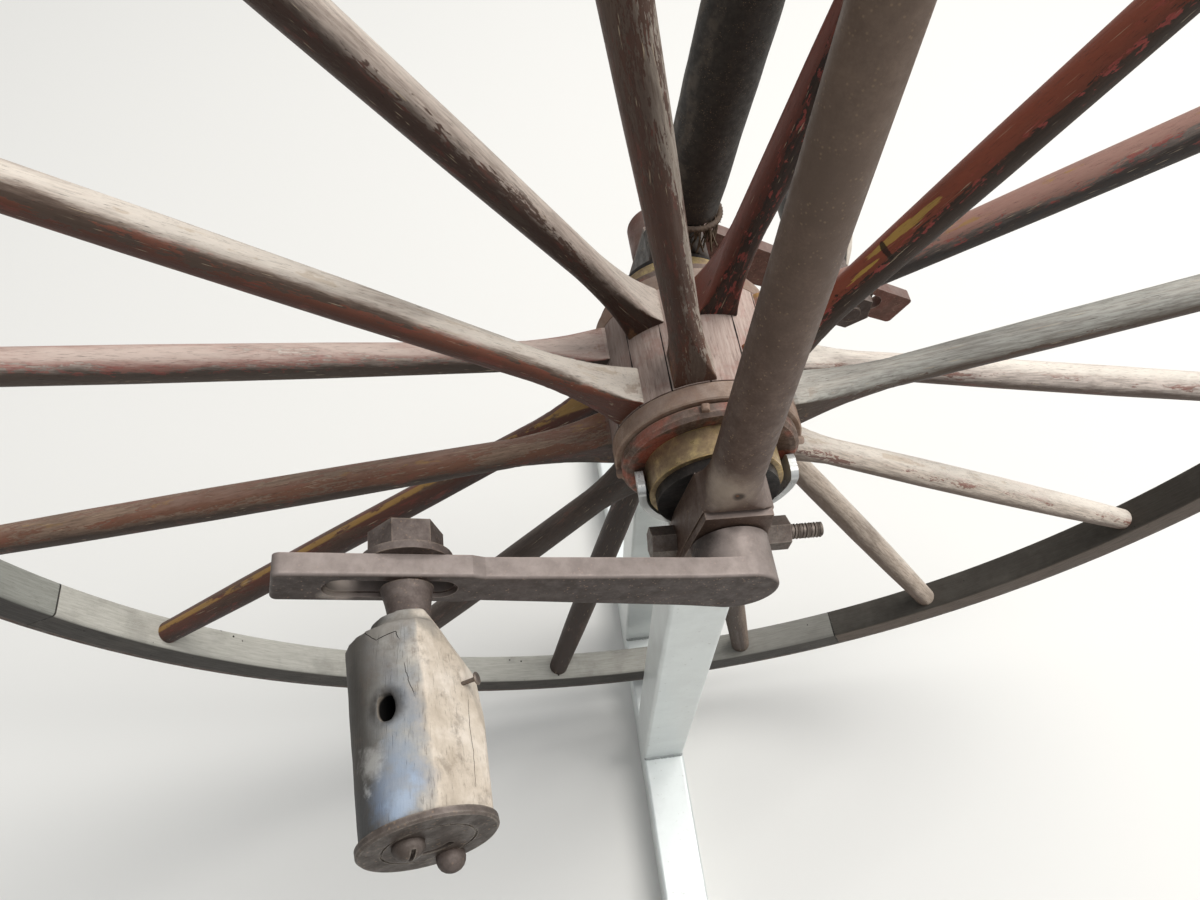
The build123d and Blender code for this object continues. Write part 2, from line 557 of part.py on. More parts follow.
def crown():
    """Crown forging that arches over the tyre, with the steering stem, in the fork's own frame."""
    half = LEG_SPREAD_AT_AXLE - LEG_LEAN_IN * CROWN_UNDERSIDE_AT + CROWN_CHEEK
    inner = half - 2 * CROWN_CHEEK
    across_run = half - SEAT_COLLAR_R
    up_run = CROWN_HEIGHT - CROWN_SIDE_HEIGHT
    run = math.hypot(across_run, up_run)
    bulge_y = (half + SEAT_COLLAR_R) / 2 + CROWN_SHOULDER_BULGE * up_run / run
    bulge_z = (CROWN_HEIGHT + CROWN_SIDE_HEIGHT) / 2 + CROWN_SHOULDER_BULGE * across_run / run
    face = Plane(origin=(LEG_LINE_X - CROWN_DEPTH / 2, 0, CROWN_UNDERSIDE_AT), x_dir=(0, 1, 0),
                 z_dir=(1, 0, 0))
    outline = [
        Line((-half, 0), (-inner, 0)),
        ThreePointArc((-inner, 0), (0, CROWN_ARCH_RISE), (inner, 0)),
        Polyline((inner, 0), (half, 0), (half, CROWN_SIDE_HEIGHT)),
        ThreePointArc((half, CROWN_SIDE_HEIGHT), (bulge_y, bulge_z), (SEAT_COLLAR_R, CROWN_HEIGHT)),
        Line((SEAT_COLLAR_R, CROWN_HEIGHT), (-SEAT_COLLAR_R, CROWN_HEIGHT)),
        ThreePointArc((-SEAT_COLLAR_R, CROWN_HEIGHT), (-bulge_y, bulge_z),
                      (-half, CROWN_SIDE_HEIGHT)),
        Line((-half, CROWN_SIDE_HEIGHT), (-half, 0)),
    ]
    body = face * extrude(make_face(Curve() + outline), CROWN_DEPTH)
    plan = RectangleRounded(CROWN_DEPTH, 2 * half, CROWN_DEPTH / 2 - CROWN_END_FLAT)
    body &= Pos(LEG_LINE_X, 0, CROWN_UNDERSIDE_AT) * extrude(plan, CROWN_HEIGHT)
    boss_height = CROWN_BOSS_DEPTH + SEAT_COLLAR_HEIGHT
    body += Pos(LEG_LINE_X, 0, SEAT_AT - boss_height) * extrude(Circle(SEAT_COLLAR_R), boss_height)
    stem = Pos(LEG_LINE_X, 0, SEAT_AT) * extrude(Circle(STEM_R), STEM_LENGTH)
    stem = chamfer(stem.edges().sort_by(Axis.Z)[-1], STEM_CHAMFER)
    return body + stem


def square_tube(length):
    outside = RectangleRounded(TUBE_WIDTH, TUBE_WIDTH, TUBE_CORNER_R)
    bore_width = TUBE_WIDTH - 2 * TUBE_WALL
    inside = RectangleRounded(bore_width, bore_width, TUBE_CORNER_R - TUBE_WALL / 2)
    return extrude(outside - inside, length)


def cradle():
    """Flat bar bent round the underside of the brass collar, on a short foot, left side."""
    outer = CRADLE_INNER_R + CRADLE_THICKNESS
    slack = CRADLE_INNER_R - COLLAR_R - CRADLE_GAP
    rise = math.sqrt(slack ** 2 - CRADLE_OFFSET ** 2)
    side = Plane(origin=(0, -CRADLE_START_AT, 0), x_dir=(1, 0, 0), z_dir=(0, -1, 0))
    centre = Pos(CRADLE_OFFSET, rise)
    bend = (Circle(outer) - Circle(CRADLE_INNER_R)) & Pos(0, -outer / 2) * Rectangle(2 * outer, outer)
    arm = Rectangle(CRADLE_THICKNESS, CRADLE_ARM_LENGTH)
    arm_at = CRADLE_INNER_R + CRADLE_THICKNESS / 2
    bend += Pos(arm_at, CRADLE_ARM_LENGTH / 2) * arm
    bend += Pos(-arm_at, CRADLE_ARM_LENGTH / 2) * arm
    strip = side * extrude(centre * bend, CRADLE_WIDTH)
    arm_corners = strip.edges().filter_by(Axis.X).group_by(Axis.Z)[-1]
    strip = fillet(arm_corners, CRADLE_ARM_ROUND)
    foot_top = rise - outer + CRADLE_THICKNESS / 2
    foot_height = foot_top - UPRIGHT_TOP_AT
    foot = Pos(0, UPRIGHT_TOP_AT + foot_height / 2) * Rectangle(CRADLE_FOOT_WIDTH, foot_height)
    web = side * extrude(foot - centre * Circle(CRADLE_INNER_R + CRADLE_THICKNESS / 2), CRADLE_WIDTH)
    return strip + web


def keep(name, shape):
    parts[name] = TO_ORIGIN * shape


for index in range(FELLOE_COUNT):
    keep(f"felloe_{index + 1}", felloe(index))
keep("tyre", tyre())
keep("spokes_near_row", Compound([placed_spoke(i).solid() for i in range(0, SPOKE_COUNT, 2)]))
keep("spokes_far_row", Compound([placed_spoke(i).solid() for i in range(1, SPOKE_COUNT, 2)]))
keep("nave", nave())
keep("axle", disc(AXLE_R, -AXLE_HALF_LENGTH + SEAT_CLEARANCE, AXLE_HALF_LENGTH - SEAT_CLEARANCE))

# Fits that follow each other outwards along the axle, each a seat clearance apart.
hub_bore = AXLE_R + SEAT_CLEARANCE
collar = ring(COLLAR_R, hub_bore, -COLLAR_AT, -END_RING_AT + END_RING_DISH_DEPTH - SEAT_CLEARANCE)
washer = ring(WASHER_R, hub_bore, -WASHER_AT, -COLLAR_AT - SEAT_CLEARANCE)
upright_middle = UPRIGHT_INNER_AT + TUBE_WIDTH / 2
upright_length = UPRIGHT_TOP_AT - CROSSBAR_TOP_AT - SEAT_CLEARANCE
upright = square_tube(upright_length) + Pos(0, 0, upright_length - UPRIGHT_CAP) * extrude(
    RectangleRounded(TUBE_WIDTH, TUBE_WIDTH, TUBE_CORNER_R), UPRIGHT_CAP)

for side, sign, angle, length, pin_at, tilt, swing in SIDES:
    foot = pin_foot(angle, pin_at)
    line = pedal_line(angle, pin_at, tilt, swing)
    keep(f"nave_band_{side}", on_side(nave_band(), sign))
    keep(f"end_ring_{side}", on_side(Pos(0, -SEAT_CLEARANCE, 0) * end_ring(), sign))
    keep(f"brass_collar_{side}", on_side(Pos(0, -SEAT_CLEARANCE, 0) * collar, sign))
    keep(f"thrust_washer_{side}", on_side(Pos(0, -SEAT_CLEARANCE, 0) * washer, sign))
    keep(f"crank_{side}", on_side(turned(angle) * crank(length), sign))
    keep(f"pedal_pin_{side}", on_side(pedal_pin(foot, line), sign))
    keep(f"pin_nut_{side}", on_side(foot * pin_nut(), sign))
    keep(f"pedal_barrel_{side}", on_side(pedal_barrel(line), sign))
    keep(f"pedal_plate_{side}", on_side(pedal_plate(line), sign))
    keep(f"fork_leg_{side}", on_side(FORK_TILT * fork_leg(), sign))
    keep(f"bearing_plate_{side}", on_side(FORK_TILT * front_plate(), sign))
    keep(f"clamp_bolt_{side}", on_side(FORK_TILT * clamp_bolt(), sign))
    keep(f"stand_upright_{side}", on_side(
        Pos(0, -upright_middle, CROSSBAR_TOP_AT + SEAT_CLEARANCE) * upright, sign))
    keep(f"stand_cradle_{side}", on_side(cradle(), sign))

keep("fork_crown", FORK_TILT * crown())
keep("stand_crossbar", Pos(0, CROSSBAR_LENGTH / 2, CROSSBAR_TOP_AT - TUBE_WIDTH / 2) * Rot(
    90, 0, 0) * square_tube(CROSSBAR_LENGTH))

os.makedirs("parts", exist_ok=True)
for name, shape in parts.items():
    export_step(shape, f"parts/{name}.step")
print(len(parts), "parts; wheel centre at", TO_ORIGIN.position)
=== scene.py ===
import json
import math

import bmesh
import bpy
from mathutils import Matrix, Vector, noise
from mathutils.bvhtree import BVHTree


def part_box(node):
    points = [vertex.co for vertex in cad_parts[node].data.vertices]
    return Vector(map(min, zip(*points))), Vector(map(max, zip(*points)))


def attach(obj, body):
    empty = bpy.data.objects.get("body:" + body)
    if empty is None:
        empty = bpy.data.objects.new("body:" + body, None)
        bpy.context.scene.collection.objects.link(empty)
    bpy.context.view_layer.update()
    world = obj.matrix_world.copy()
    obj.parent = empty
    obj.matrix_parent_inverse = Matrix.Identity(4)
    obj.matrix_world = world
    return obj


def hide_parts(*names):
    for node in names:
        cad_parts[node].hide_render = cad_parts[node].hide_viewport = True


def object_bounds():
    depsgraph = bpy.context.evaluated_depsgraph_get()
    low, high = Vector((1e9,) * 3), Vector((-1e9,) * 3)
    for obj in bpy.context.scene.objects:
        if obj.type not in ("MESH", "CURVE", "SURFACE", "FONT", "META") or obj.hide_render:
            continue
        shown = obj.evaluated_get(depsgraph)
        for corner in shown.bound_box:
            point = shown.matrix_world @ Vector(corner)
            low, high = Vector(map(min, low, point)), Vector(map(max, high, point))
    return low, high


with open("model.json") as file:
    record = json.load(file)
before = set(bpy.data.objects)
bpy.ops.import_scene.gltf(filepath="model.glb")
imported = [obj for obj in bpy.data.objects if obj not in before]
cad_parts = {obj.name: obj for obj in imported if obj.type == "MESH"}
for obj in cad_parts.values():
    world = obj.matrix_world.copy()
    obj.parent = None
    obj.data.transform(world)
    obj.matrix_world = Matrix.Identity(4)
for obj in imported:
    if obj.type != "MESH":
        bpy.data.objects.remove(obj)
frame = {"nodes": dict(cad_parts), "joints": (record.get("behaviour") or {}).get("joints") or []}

# Front wheel and fork of an early high-wheel bicycle on its display stand, in metres.

CAD_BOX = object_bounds()
NODES = frame["nodes"]
JOINTS = {joint["name"]: joint for joint in frame["joints"]}
HUB = Vector(JOINTS["wheel_spin"]["pos_m"])
RAKE = math.radians(4.77)
MM = 0.001
SIDES = (("left", -1), ("right", 1))

# Camera, read from the ellipses of hub, rim and crank in the photograph
EYE = Vector((-0.133675, -0.2839, -0.143843))
LOOK_RIGHT = Vector((0.9915, -0.1299, -0.0008))
LOOK_UP = Vector((0.1113, 0.8471, 0.5196))
LENS = 27.405
# The side that weather and light reach, up and to the back of the bicycle
LIGHT_SIDE = (0.45, 0.12, 0.88)
# The side where the spokes have weathered pale or kept their paint, and the side their paint is
# lit from: paint facing away from it gets painted shade
DRY_AND_LIT_SIDE = (-0.20, 0.35, 0.91)


def moved(offset):
    return Matrix.Translation(offset)


def linked(name, data):
    thing = bpy.data.objects.new(name, data)
    bpy.context.scene.collection.objects.link(thing)
    return thing


def place_camera():
    right = LOOK_RIGHT.normalized()
    back = right.cross(LOOK_UP).normalized()
    up = back.cross(right)
    data = bpy.data.cameras.new("camera")
    data.lens = LENS
    data.clip_start = 0.01
    data.clip_end = 50.0
    camera = linked("camera", data)
    camera.matrix_world = moved(EYE) @ Matrix((right, up, back)).transposed().to_4x4()
    bpy.context.scene.camera = camera


place_camera()


# Words for node trees

FLOAT = "NodeSocketFloat"
VECTOR = "NodeSocketVector"
WHOLE = "NodeSocketInt"
KINDS = {"VALUE": FLOAT, "VECTOR": VECTOR, "GEOMETRY": "NodeSocketGeometry"}


class Flow:
    """A node's output, written in sums as a number is. In brackets comes another output of its
    node, by name or number."""

    def __init__(self, socket):
        self.socket = socket
        self.tree = socket.id_data

    def __getitem__(self, output):
        return Flow(self.socket.node.outputs[output])

    def __add__(self, other):
        return calc("ADD", self, other)

    def __sub__(self, other):
        return calc("SUBTRACT", self, other)

    def __rsub__(self, other):
        return calc("SUBTRACT", other, self)

    def __mul__(self, other):
        return calc("MULTIPLY", self, other)

    def __truediv__(self, other):
        return calc("DIVIDE", self, other)


def tone(code):
    """A colour written as six hex digits, as the linear values that nodes take."""
    values = [int(code[i:i + 2], 16) / 255 for i in (0, 2, 4)]
    return [v / 12.92 if v <= 0.04045 else ((v + 0.055) / 1.055) ** 2.4 for v in values] + [1.0]


def put(kind, settings=None, tree=None, **inputs):
    """Adds a node, to the tree that its inputs come from, and gives its first output. Each input
    is a value or a Flow; n0, n1 name inputs by number. A short kind is a shader node's."""
    tree = tree or [value.tree for value in inputs.values() if isinstance(value, Flow)][0]
    node = tree.nodes.new(kind if "Node" in kind else f"ShaderNode{kind}")
    for name, value in (settings or {}).items():
        setattr(node, name, value)
    for name, value in inputs.items():
        numbered = name[0] == "n" and name[1:].isdigit()
        socket = node.inputs[int(name[1:])] if numbered else node.inputs[name.replace("_", " ")]
        if isinstance(value, Flow):
            tree.links.new(value.socket, socket)
        else:
            socket.default_value = value
    return Flow(node.outputs[0]) if node.outputs else None


def calc(operation, *terms):
    inputs = {f"n{i}": term for i, term in enumerate(terms)}
    return put("Math", {"operation": operation}, **inputs)


def aim(operation, *terms):
    """Vector arithmetic. Terms that are plain are tuples."""
    inputs = {f"n{i}": term for i, term in enumerate(terms)}
    vector = put("VectorMath", {"operation": operation}, **inputs)
    return vector["Value"] if operation in ("DOT_PRODUCT", "DISTANCE") else vector


def xyz(x, y, z):
    return put("CombineXYZ", X=x, Y=y, Z=z)


def mapped(value, low, high, to_low=0.0, to_high=1.0):
    return put("MapRange", {"interpolation_type": "SMOOTHSTEP"}, Value=value,
               From_Min=low, From_Max=high, To_Min=to_low, To_Max=to_high)


def clouds(vector, scale, detail=4.0, roughness=0.55, distortion=0.0):
    return put("TexNoise", Vector=vector, Scale=scale, Detail=detail, Roughness=roughness,
               Distortion=distortion)


def fade(value, low, high):
    """A mask that is full up to low and gone from high on."""
    return mapped(value, low, high, 1.0, 0.0)


def blend(fac, first, second, kind="MIX"):
    return put("Mix", {"data_type": "RGBA", "blend_type": kind}, n0=fac, n6=first, n7=second)[2]


def steps(fac, stops, kind="LINEAR"):
    """A colour ramp from (place, colour code or grey value) pairs."""
    colour = put("ValToRGB", n0=fac)
    ramp = colour.socket.node.color_ramp
    ramp.interpolation = kind
    while len(ramp.elements) < len(stops):
        ramp.elements.new(0.5)
    for mark, (place, code) in zip(ramp.elements, stops):
        mark.position = place
        mark.color = tone(code) if isinstance(code, str) else (code, code, code, 1.0)
    return colour


def start_group(name, kind, **inputs):
    """Starts a node group with inputs of these kinds, and gives the node they come from."""
    tree = bpy.data.node_groups.new(name, kind)
    for label, socket in inputs.items():
        tree.interface.new_socket(label.replace("_", " "), in_out="INPUT", socket_type=socket)
    return Flow(tree.nodes.new("NodeGroupInput").outputs[0])


def end_group(start, **outputs):
    for label, flow in outputs.items():
        start.tree.interface.new_socket(label, in_out="OUTPUT",
                                        socket_type=KINDS[flow.socket.type])
    put("NodeGroupOutput", **outputs)
    return start.tree


def effect(name, **inputs):
    return start_group(name, "ShaderNodeTree", Place=VECTOR, **inputs)


def use(name, **inputs):
    """Places an effect with its own values."""
    return put("Group", {"node_tree": bpy.data.node_groups[name]}, **inputs)


# Effects that several materials share

SPOKE_PITCH = math.pi / 4
# How far apart the straightened spokes lie, so that no two share their grain
SPOKE_APART = 1.37
# the side that dust settles on and that painted light comes from
DUST_AND_LIGHT_SIDE = (0.12, -0.12, 0.98)


def make_hub_place():
    """Turns a place into radius, angle and distance along the axle, measured from the hub."""
    start = effect("Hub Place", Seam_Angle=FLOAT)
    split = put("SeparateXYZ", Vector=aim("SUBTRACT", start["Place"], tuple(HUB)))
    radius = calc("SQRT", split["X"] * split["X"] + split["Z"] * split["Z"])
    angle = calc("ARCTAN2", split["Z"], split["X"]) - start["Seam Angle"]
    angle = calc("FLOORED_MODULO", angle, 2 * math.pi)
    place = xyz(angle * radius, split["Y"], radius)
    end_group(start, Radius=radius, Angle=angle, Axial=split["Y"], Round=place)


def make_spoke_place():
    """Straightens eight spokes: X runs along each spoke, and Number counts them from the first."""
    start = effect("Spoke Place", First_Angle=FLOAT)
    seam = start["First Angle"] - SPOKE_PITCH / 2
    hub = use("Hub Place", Place=start["Place"], Seam_Angle=seam)
    number = calc("FLOOR", hub["Angle"] / SPOKE_PITCH)
    local = hub["Angle"] - number * SPOKE_PITCH - SPOKE_PITCH / 2
    out = hub["Radius"] * calc("COSINE", local)
    across = hub["Radius"] * calc("SINE", local)
    place = xyz(out + number * SPOKE_APART, hub["Axial"], across)
    end_group(start, Straight=place, Number=number, Out=out)


def make_wood_grain():
    """Streaks, open pores and broad weather patches of wood whose grain runs along X."""
    start = effect("Wood Grain", Fineness=FLOAT)
    place = start["Place"]
    fineness = start["Fineness"]
    sway = clouds(place, 9.0, 2.0, 0.5)["Color"]
    waved = aim("ADD", aim("MULTIPLY", place, (1.0, 14.0, 14.0)),
                aim("MULTIPLY", sway, (0.0, 0.05, 0.05)))
    streaks = clouds(waved, fineness * 26.0, 6.0, 0.62)
    pores = clouds(aim("MULTIPLY", place, (1.0, 28.0, 28.0)), fineness * 60.0, 3.0, 0.6)
    pores = mapped(pores, 0.60, 0.70)
    patches = clouds(aim("MULTIPLY", place, (0.6, 2.0, 2.0)), 22.0, 3.0, 0.6)
    end_group(start, Streaks=streaks, Pores=pores, Patches=patches, Height=streaks - pores * 0.8)


def make_old_iron():
    """Mottled patina, pale specks and hammered unevenness of old wrought iron."""
    start = effect("Old Iron", Size=FLOAT)
    place = start["Place"]
    size = start["Size"]
    mottle = clouds(place, size * 150.0, 9.0, 0.72)
    dots = put("TexVoronoi", Vector=place, Scale=size * 520.0)
    few = mapped(clouds(place, 140.0, 3.0), 0.44, 0.58)
    specks = fade(dots["Distance"], 0.10, 0.30) * few
    stain = clouds(place, size * 24.0, 4.0, 0.6, 0.6)
    broad = clouds(place, size * 190.0, 3.0, 0.6)
    end_group(start, Mottle=mottle, Specks=specks, Stain=stain, Height=mottle * 0.7 + broad * 0.5)


def make_rubbed_edges():
    """A mask of edges that hands and cloths have rubbed, uneven along their length."""
    start = effect("Rubbed Edges", Radius=FLOAT)
    bevel = put("Bevel", {"samples": 4}, Radius=start["Radius"])
    true = put("NewGeometry", tree=start.tree)["Normal"]
    edge = fade(aim("DOT_PRODUCT", bevel, true), 0.90, 0.995)
    broken = mapped(clouds(start["Place"], 160.0, 4.0, 0.7), 0.35, 0.62)
    end_group(start, Mask=edge * broken)


def make_dust_and_lit_tops():
    """Pale dust and painted light on the faces that look up at rest. Evenness 1 leaves no gaps in
    it.
    """
    start = effect("Settled Dust And Light", Amount=FLOAT, Evenness=FLOAT)
    normal = put("TexCoord", tree=start.tree)["Normal"]
    up = mapped(aim("DOT_PRODUCT", normal, DUST_AND_LIGHT_SIDE), 0.0, 0.9)
    drift = mapped(clouds(start["Place"], 95.0, 7.0, 0.7), 0.30, 0.72)
    gaps = (1.0 - drift) * (1.0 - start["Evenness"])
    end_group(start, Mask=up * (1.0 - gaps) * start["Amount"])


make_hub_place()
make_spoke_place()
make_wood_grain()
make_old_iron()
make_rubbed_edges()
make_dust_and_lit_tops()


SHINE = 0.28


class Coat:
    """A material in the making."""

    def __init__(self, name, metallic=0.0):
        self.material = bpy.data.materials.new(name)
        self.material.use_nodes = True
        tree = self.material.node_tree
        tree.nodes.clear()
        shader = put("BsdfPrincipled", tree=tree, Metallic=metallic, Specular_IOR_Level=SHINE)
        self.sockets = shader.socket.node.inputs
        put("OutputMaterial", Surface=shader)
        self.place = put("TexCoord", tree=tree)["Object"]
        self.normal = self.place["Normal"]
        self.colour = None

    def towards(self, side):
        return aim("DOT_PRODUCT", self.normal, side)

    def lay(self, code, mask, strength=None):
        """Lays a colour over what is there, wherever the mask is."""
        mask = mask if strength is None else mask * strength
        self.colour = blend(mask, self.colour, tone(code))

    def rub(self, code, radius, strength):
        self.lay(code, use("Rubbed Edges", Place=self.place, Radius=radius), strength)

    def done(self, roughness, height, depth, strength):
        """Ends the material with its colour, its roughness and its relief."""
        bump = put("Bump", Height=height, Distance=depth, Strength=strength)
        for label, flow in (("Base Color", self.colour), ("Roughness", roughness),
                            ("Normal", bump)):
            bump.tree.links.new(flow.socket, self.sockets[label])
        return self.material


# Places on the pedals

PEDAL_END_AT = 102.3
OIL_HOLE_AT = 61.8
OIL_HOLE_TURN = 108.0


def pedal_frame(side):
    """Where a pedal's pin starts: X across it, Y up and Z out along it."""
    joint = JOINTS[f"pedal_{side}_spin"]
    out = Vector(joint["axis"]).normalized()
    across = out.cross(Vector((0.0, 0.0, 1.0))).normalized()
    across = across if across.x > 0 else -across
    up = out.cross(across)
    up = up if up.z > 0 else -up
    turn = Matrix((across, up, out)).transposed().to_4x4()
    return moved(Vector(joint["pos_m"])) @ turn


def on_pedal(side, along, degrees, radius):
    """A place in millimetres along a pedal, turned round its pin and out from it."""
    angle = math.radians(degrees)
    return pedal_frame(side) @ (Vector((radius * math.cos(angle), radius * math.sin(angle),
                                        along)) * MM)


# Wood

# One row for each spoke, counted round from the one that points almost straight up: its weathered
# top, paler as painted light, its underside, darker as painted shade, its paint, how much of that
# paint is left, how much of the ochre line, on which side the paint has held (1 is the dry, lit
# side), how strong the painted highlight on its crest is, and how far up its shaded underside
# reaches.
WEATHERED_LIT_TOP, SHADED_UNDERSIDE, PAINT, AMOUNT, OCHRE, PAINT_SIDE, CREST_HIGHLIGHT, SHADED_REACH = range(8)
SPOKE_LOOKS = [
    ("b3a79a", "57463c", "835845", 0.46, 0.00, 0.40, 0.30, 0.12),
    ("c8b8ac", "43352d", "6f5144", 0.36, 0.00, 0.20, 0.50, 0.30),
    ("b9a292", "54443a", "9a604c", 0.56, 0.04, 0.15, 0.80, 0.70),
    ("d9c6ba", "4e443d", "a3756a", 0.20, 0.00, 0.85, 0.50, 0.60),
    ("937a68", "3a2e27", "7a5240", 0.46, 0.06, 0.55, 0.15, 0.25),
    ("6f5546", "3a2b26", "5c392f", 0.62, 0.85, 0.50, 0.00, 0.20),
    ("75645a", "392e28", "6b4c40", 0.24, 0.00, 0.50, 0.05, 0.15),
    ("6f5e54", "372c27", "6b4c40", 0.28, 0.00, 0.50, 0.05, 0.15),
    ("8a786a", "463931", "745444", 0.16, 0.00, 0.50, 0.15, 0.15),
    ("c6b5a5", "685649", "8a6c5a", 0.10, 0.00, 0.50, 0.50, 0.08),
    ("dccdbe", "6a594d", "ab7060", 0.30, 0.04, 0.55, 0.85, 0.00),
    ("e2d3c8", "5d4d44", "a87c70", 0.36, 0.00, 0.55, 1.00, 0.12),
    ("acaaa2", "54473c", "7b6050", 0.26, 0.00, 0.15, 0.25, 0.25),
    ("b5a398", "3a3634", "a37a6d", 0.17, 0.10, 0.88, 0.50, 0.25),
    ("7a5342", "33271f", "8f4d3a", 0.33, 0.50, 0.95, 0.00, 0.20),
    ("7d5548", "2c201b", "84483a", 0.62, 0.08, 0.88, 0.00, 0.20),
]
FIRST_SPOKE = math.radians(100.8)

# What is left of the lining near the fork on the near row's last spoke, and a dark band across
# it: its distances out, along the axle and across, how it is drawn out, its reach and its colour
LINING_SPOTS = [
    (0.1520, -0.0178, 0.0085, 0.11, 0.0021, "b08f4c"),
    (0.1260, -0.0212, 0.0073, 0.11, 0.0011, "b59349"),
    (0.1375, -0.0190, 0.0050, 2.60, 0.0052, "2c221c"),
]


def spoke_coat(name, first, looks, spots=()):
    """Eight weathered spokes, each with its own row of looks."""
    coat = Coat(name)
    spoke = use("Spoke Place", Place=coat.place, First_Angle=first)
    straight = spoke["Straight"]
    grain = use("Wood Grain", Place=straight, Fineness=2.4)
    which = (spoke["Number"] + 0.5) / len(looks)

    def own(column):
        stops = [(i / len(looks), row[column]) for i, row in enumerate(looks)]
        return steps(which, stops, "CONSTANT")

    def share(column):
        return put("SeparateColor", Color=own(column))["Red"]

    def stretched(factor, scale, detail, roughness):
        return clouds(aim("MULTIPLY", straight, (1.0, factor, factor)), scale, detail, roughness)

    up = coat.towards(LIGHT_SIDE)
    dry_and_lit = coat.towards(DRY_AND_LIT_SIDE)
    zone = stretched(7.0, 15.0, 6.0, 0.64)
    fray = stretched(9.0, 120.0, 4.0, 0.7)
    ragged = (zone - 0.5) + (fray - 0.5) * 0.35
    # weathering and painted light: faces towards the light take the pale top, the rest take the
    # underside's painted shade
    weathered_and_lit = mapped(up + ragged * 0.9 - share(SHADED_REACH), -0.28, 0.36)
    coat.colour = blend(weathered_and_lit, own(SHADED_UNDERSIDE), own(WEATHERED_LIT_TOP))
    coat.lay("4f3e34", mapped(grain["Streaks"], 0.34, 0.62, 0.42, 0.0))

    # paint that is left in long streaks, with an edge frayed along the grain
    amount = share(AMOUNT)
    hold = ragged + dry_and_lit * (share(PAINT_SIDE) - 0.5)
    margin = hold - (0.24 - amount * 0.48)
    chips = (stretched(4.0, 260.0, 3.0, 0.6) - 0.5) * 0.30
    paint = mapped(margin + chips, -0.005, 0.015)
    # paint that faces away from the dry, lit side is darkened as painted shade
    deep = blend(1.0, own(PAINT), tone("85786f"), "MULTIPLY")
    red_with_shade = blend(mapped(dry_and_lit, -0.5, 0.7), deep, own(PAINT))
    bright = mapped(stretched(5.0, 60.0, 4.0, 0.7), 0.56, 0.62)
    red_with_shade = blend(bright * (amount * 0.35), red_with_shade, tone("a04438"))
    coat.colour = blend(paint * 0.88, coat.colour, red_with_shade)

    # crimson flecks where the paint breaks off, and a pale painted highlight along the crest of a
    # weathered spoke where it faces the light
    edge = fade(calc("ABSOLUTE", margin + 0.03), 0.05, 0.15)
    fleck = mapped(stretched(3.0, 130.0, 4.0, 0.65), 0.565, 0.585)
    strong = mapped(share(PAINT_SIDE), 0.80, 0.90)
    coat.lay("a04a44", edge * fleck * strong, 0.75)
    coat.lay("f0e6d9", mapped(up + ragged * 0.8, 0.62, 1.0), share(CREST_HIGHLIGHT))

    # a lining that once ran along the spoke's upper side
    sideways = put("SeparateXYZ", Vector=coat.normal)["Y"]
    line = fade(calc("ABSOLUTE", sideways + 0.05), 0.16, 0.30)
    left = share(OCHRE)
    worn = mapped(stretched(3.0, 30.0, 6.0, 0.7) + left * 0.16, 0.56, 0.62)
    coat.lay("a58147", line * worn * (mapped(left, 0.0, 0.1) * mapped(up, 0.1, 0.5)), 0.8)
    for out, axial, across, drawn, reach, code in spots:
        centre = (drawn * (out + SPOKE_APART * (len(looks) - 1)), axial, across)
        away = aim("DISTANCE", aim("MULTIPLY", straight, (drawn, 1.0, 1.0)), centre)
        coat.lay(code, mapped(away + ragged * 0.006, 0.85 * reach, reach, 0.9, 0.0))

    # pale hair scratches, dark pores and grime, and old varnish at the foot
    coat.lay("cdb99c", mapped(stretched(40.0, 36.0, 2.0, 0.5), 0.68, 0.75), 0.55)
    coat.lay("2c211d", grain["Pores"], 0.65)
    coat.lay("3a2e2a", mapped(grain["Patches"], 0.50, 0.72), 0.25)
    foot = fade(spoke["Out"], 0.052, 0.066)
    varnish = mapped(clouds(coat.place, 110.0, 3.0, 0.6), 0.57, 0.64)
    coat.lay("8a6544", foot * varnish, 0.45)
    coat.rub("a89684", 0.0012, 0.4)
    return coat.done(mapped(grain["Streaks"] + paint * 0.3, 0.2, 1.1, 0.68, 0.42),
                     grain["Height"] + paint * 0.5, 0.0003, 0.7)


FELLOE_SEAM = math.radians(202.0)
FELLOE_SIDES = [(0.0, "4a4642"), (0.25, "64574d"), (0.5, "544f4a"), (0.75, "474340")]
FELLOE_SHADES = [(0.0, "e0dfdb"), (0.25, "443e39"), (0.5, "a8a29a"), (0.75, "b2b4b1")]
RIM_RADIUS = 0.46


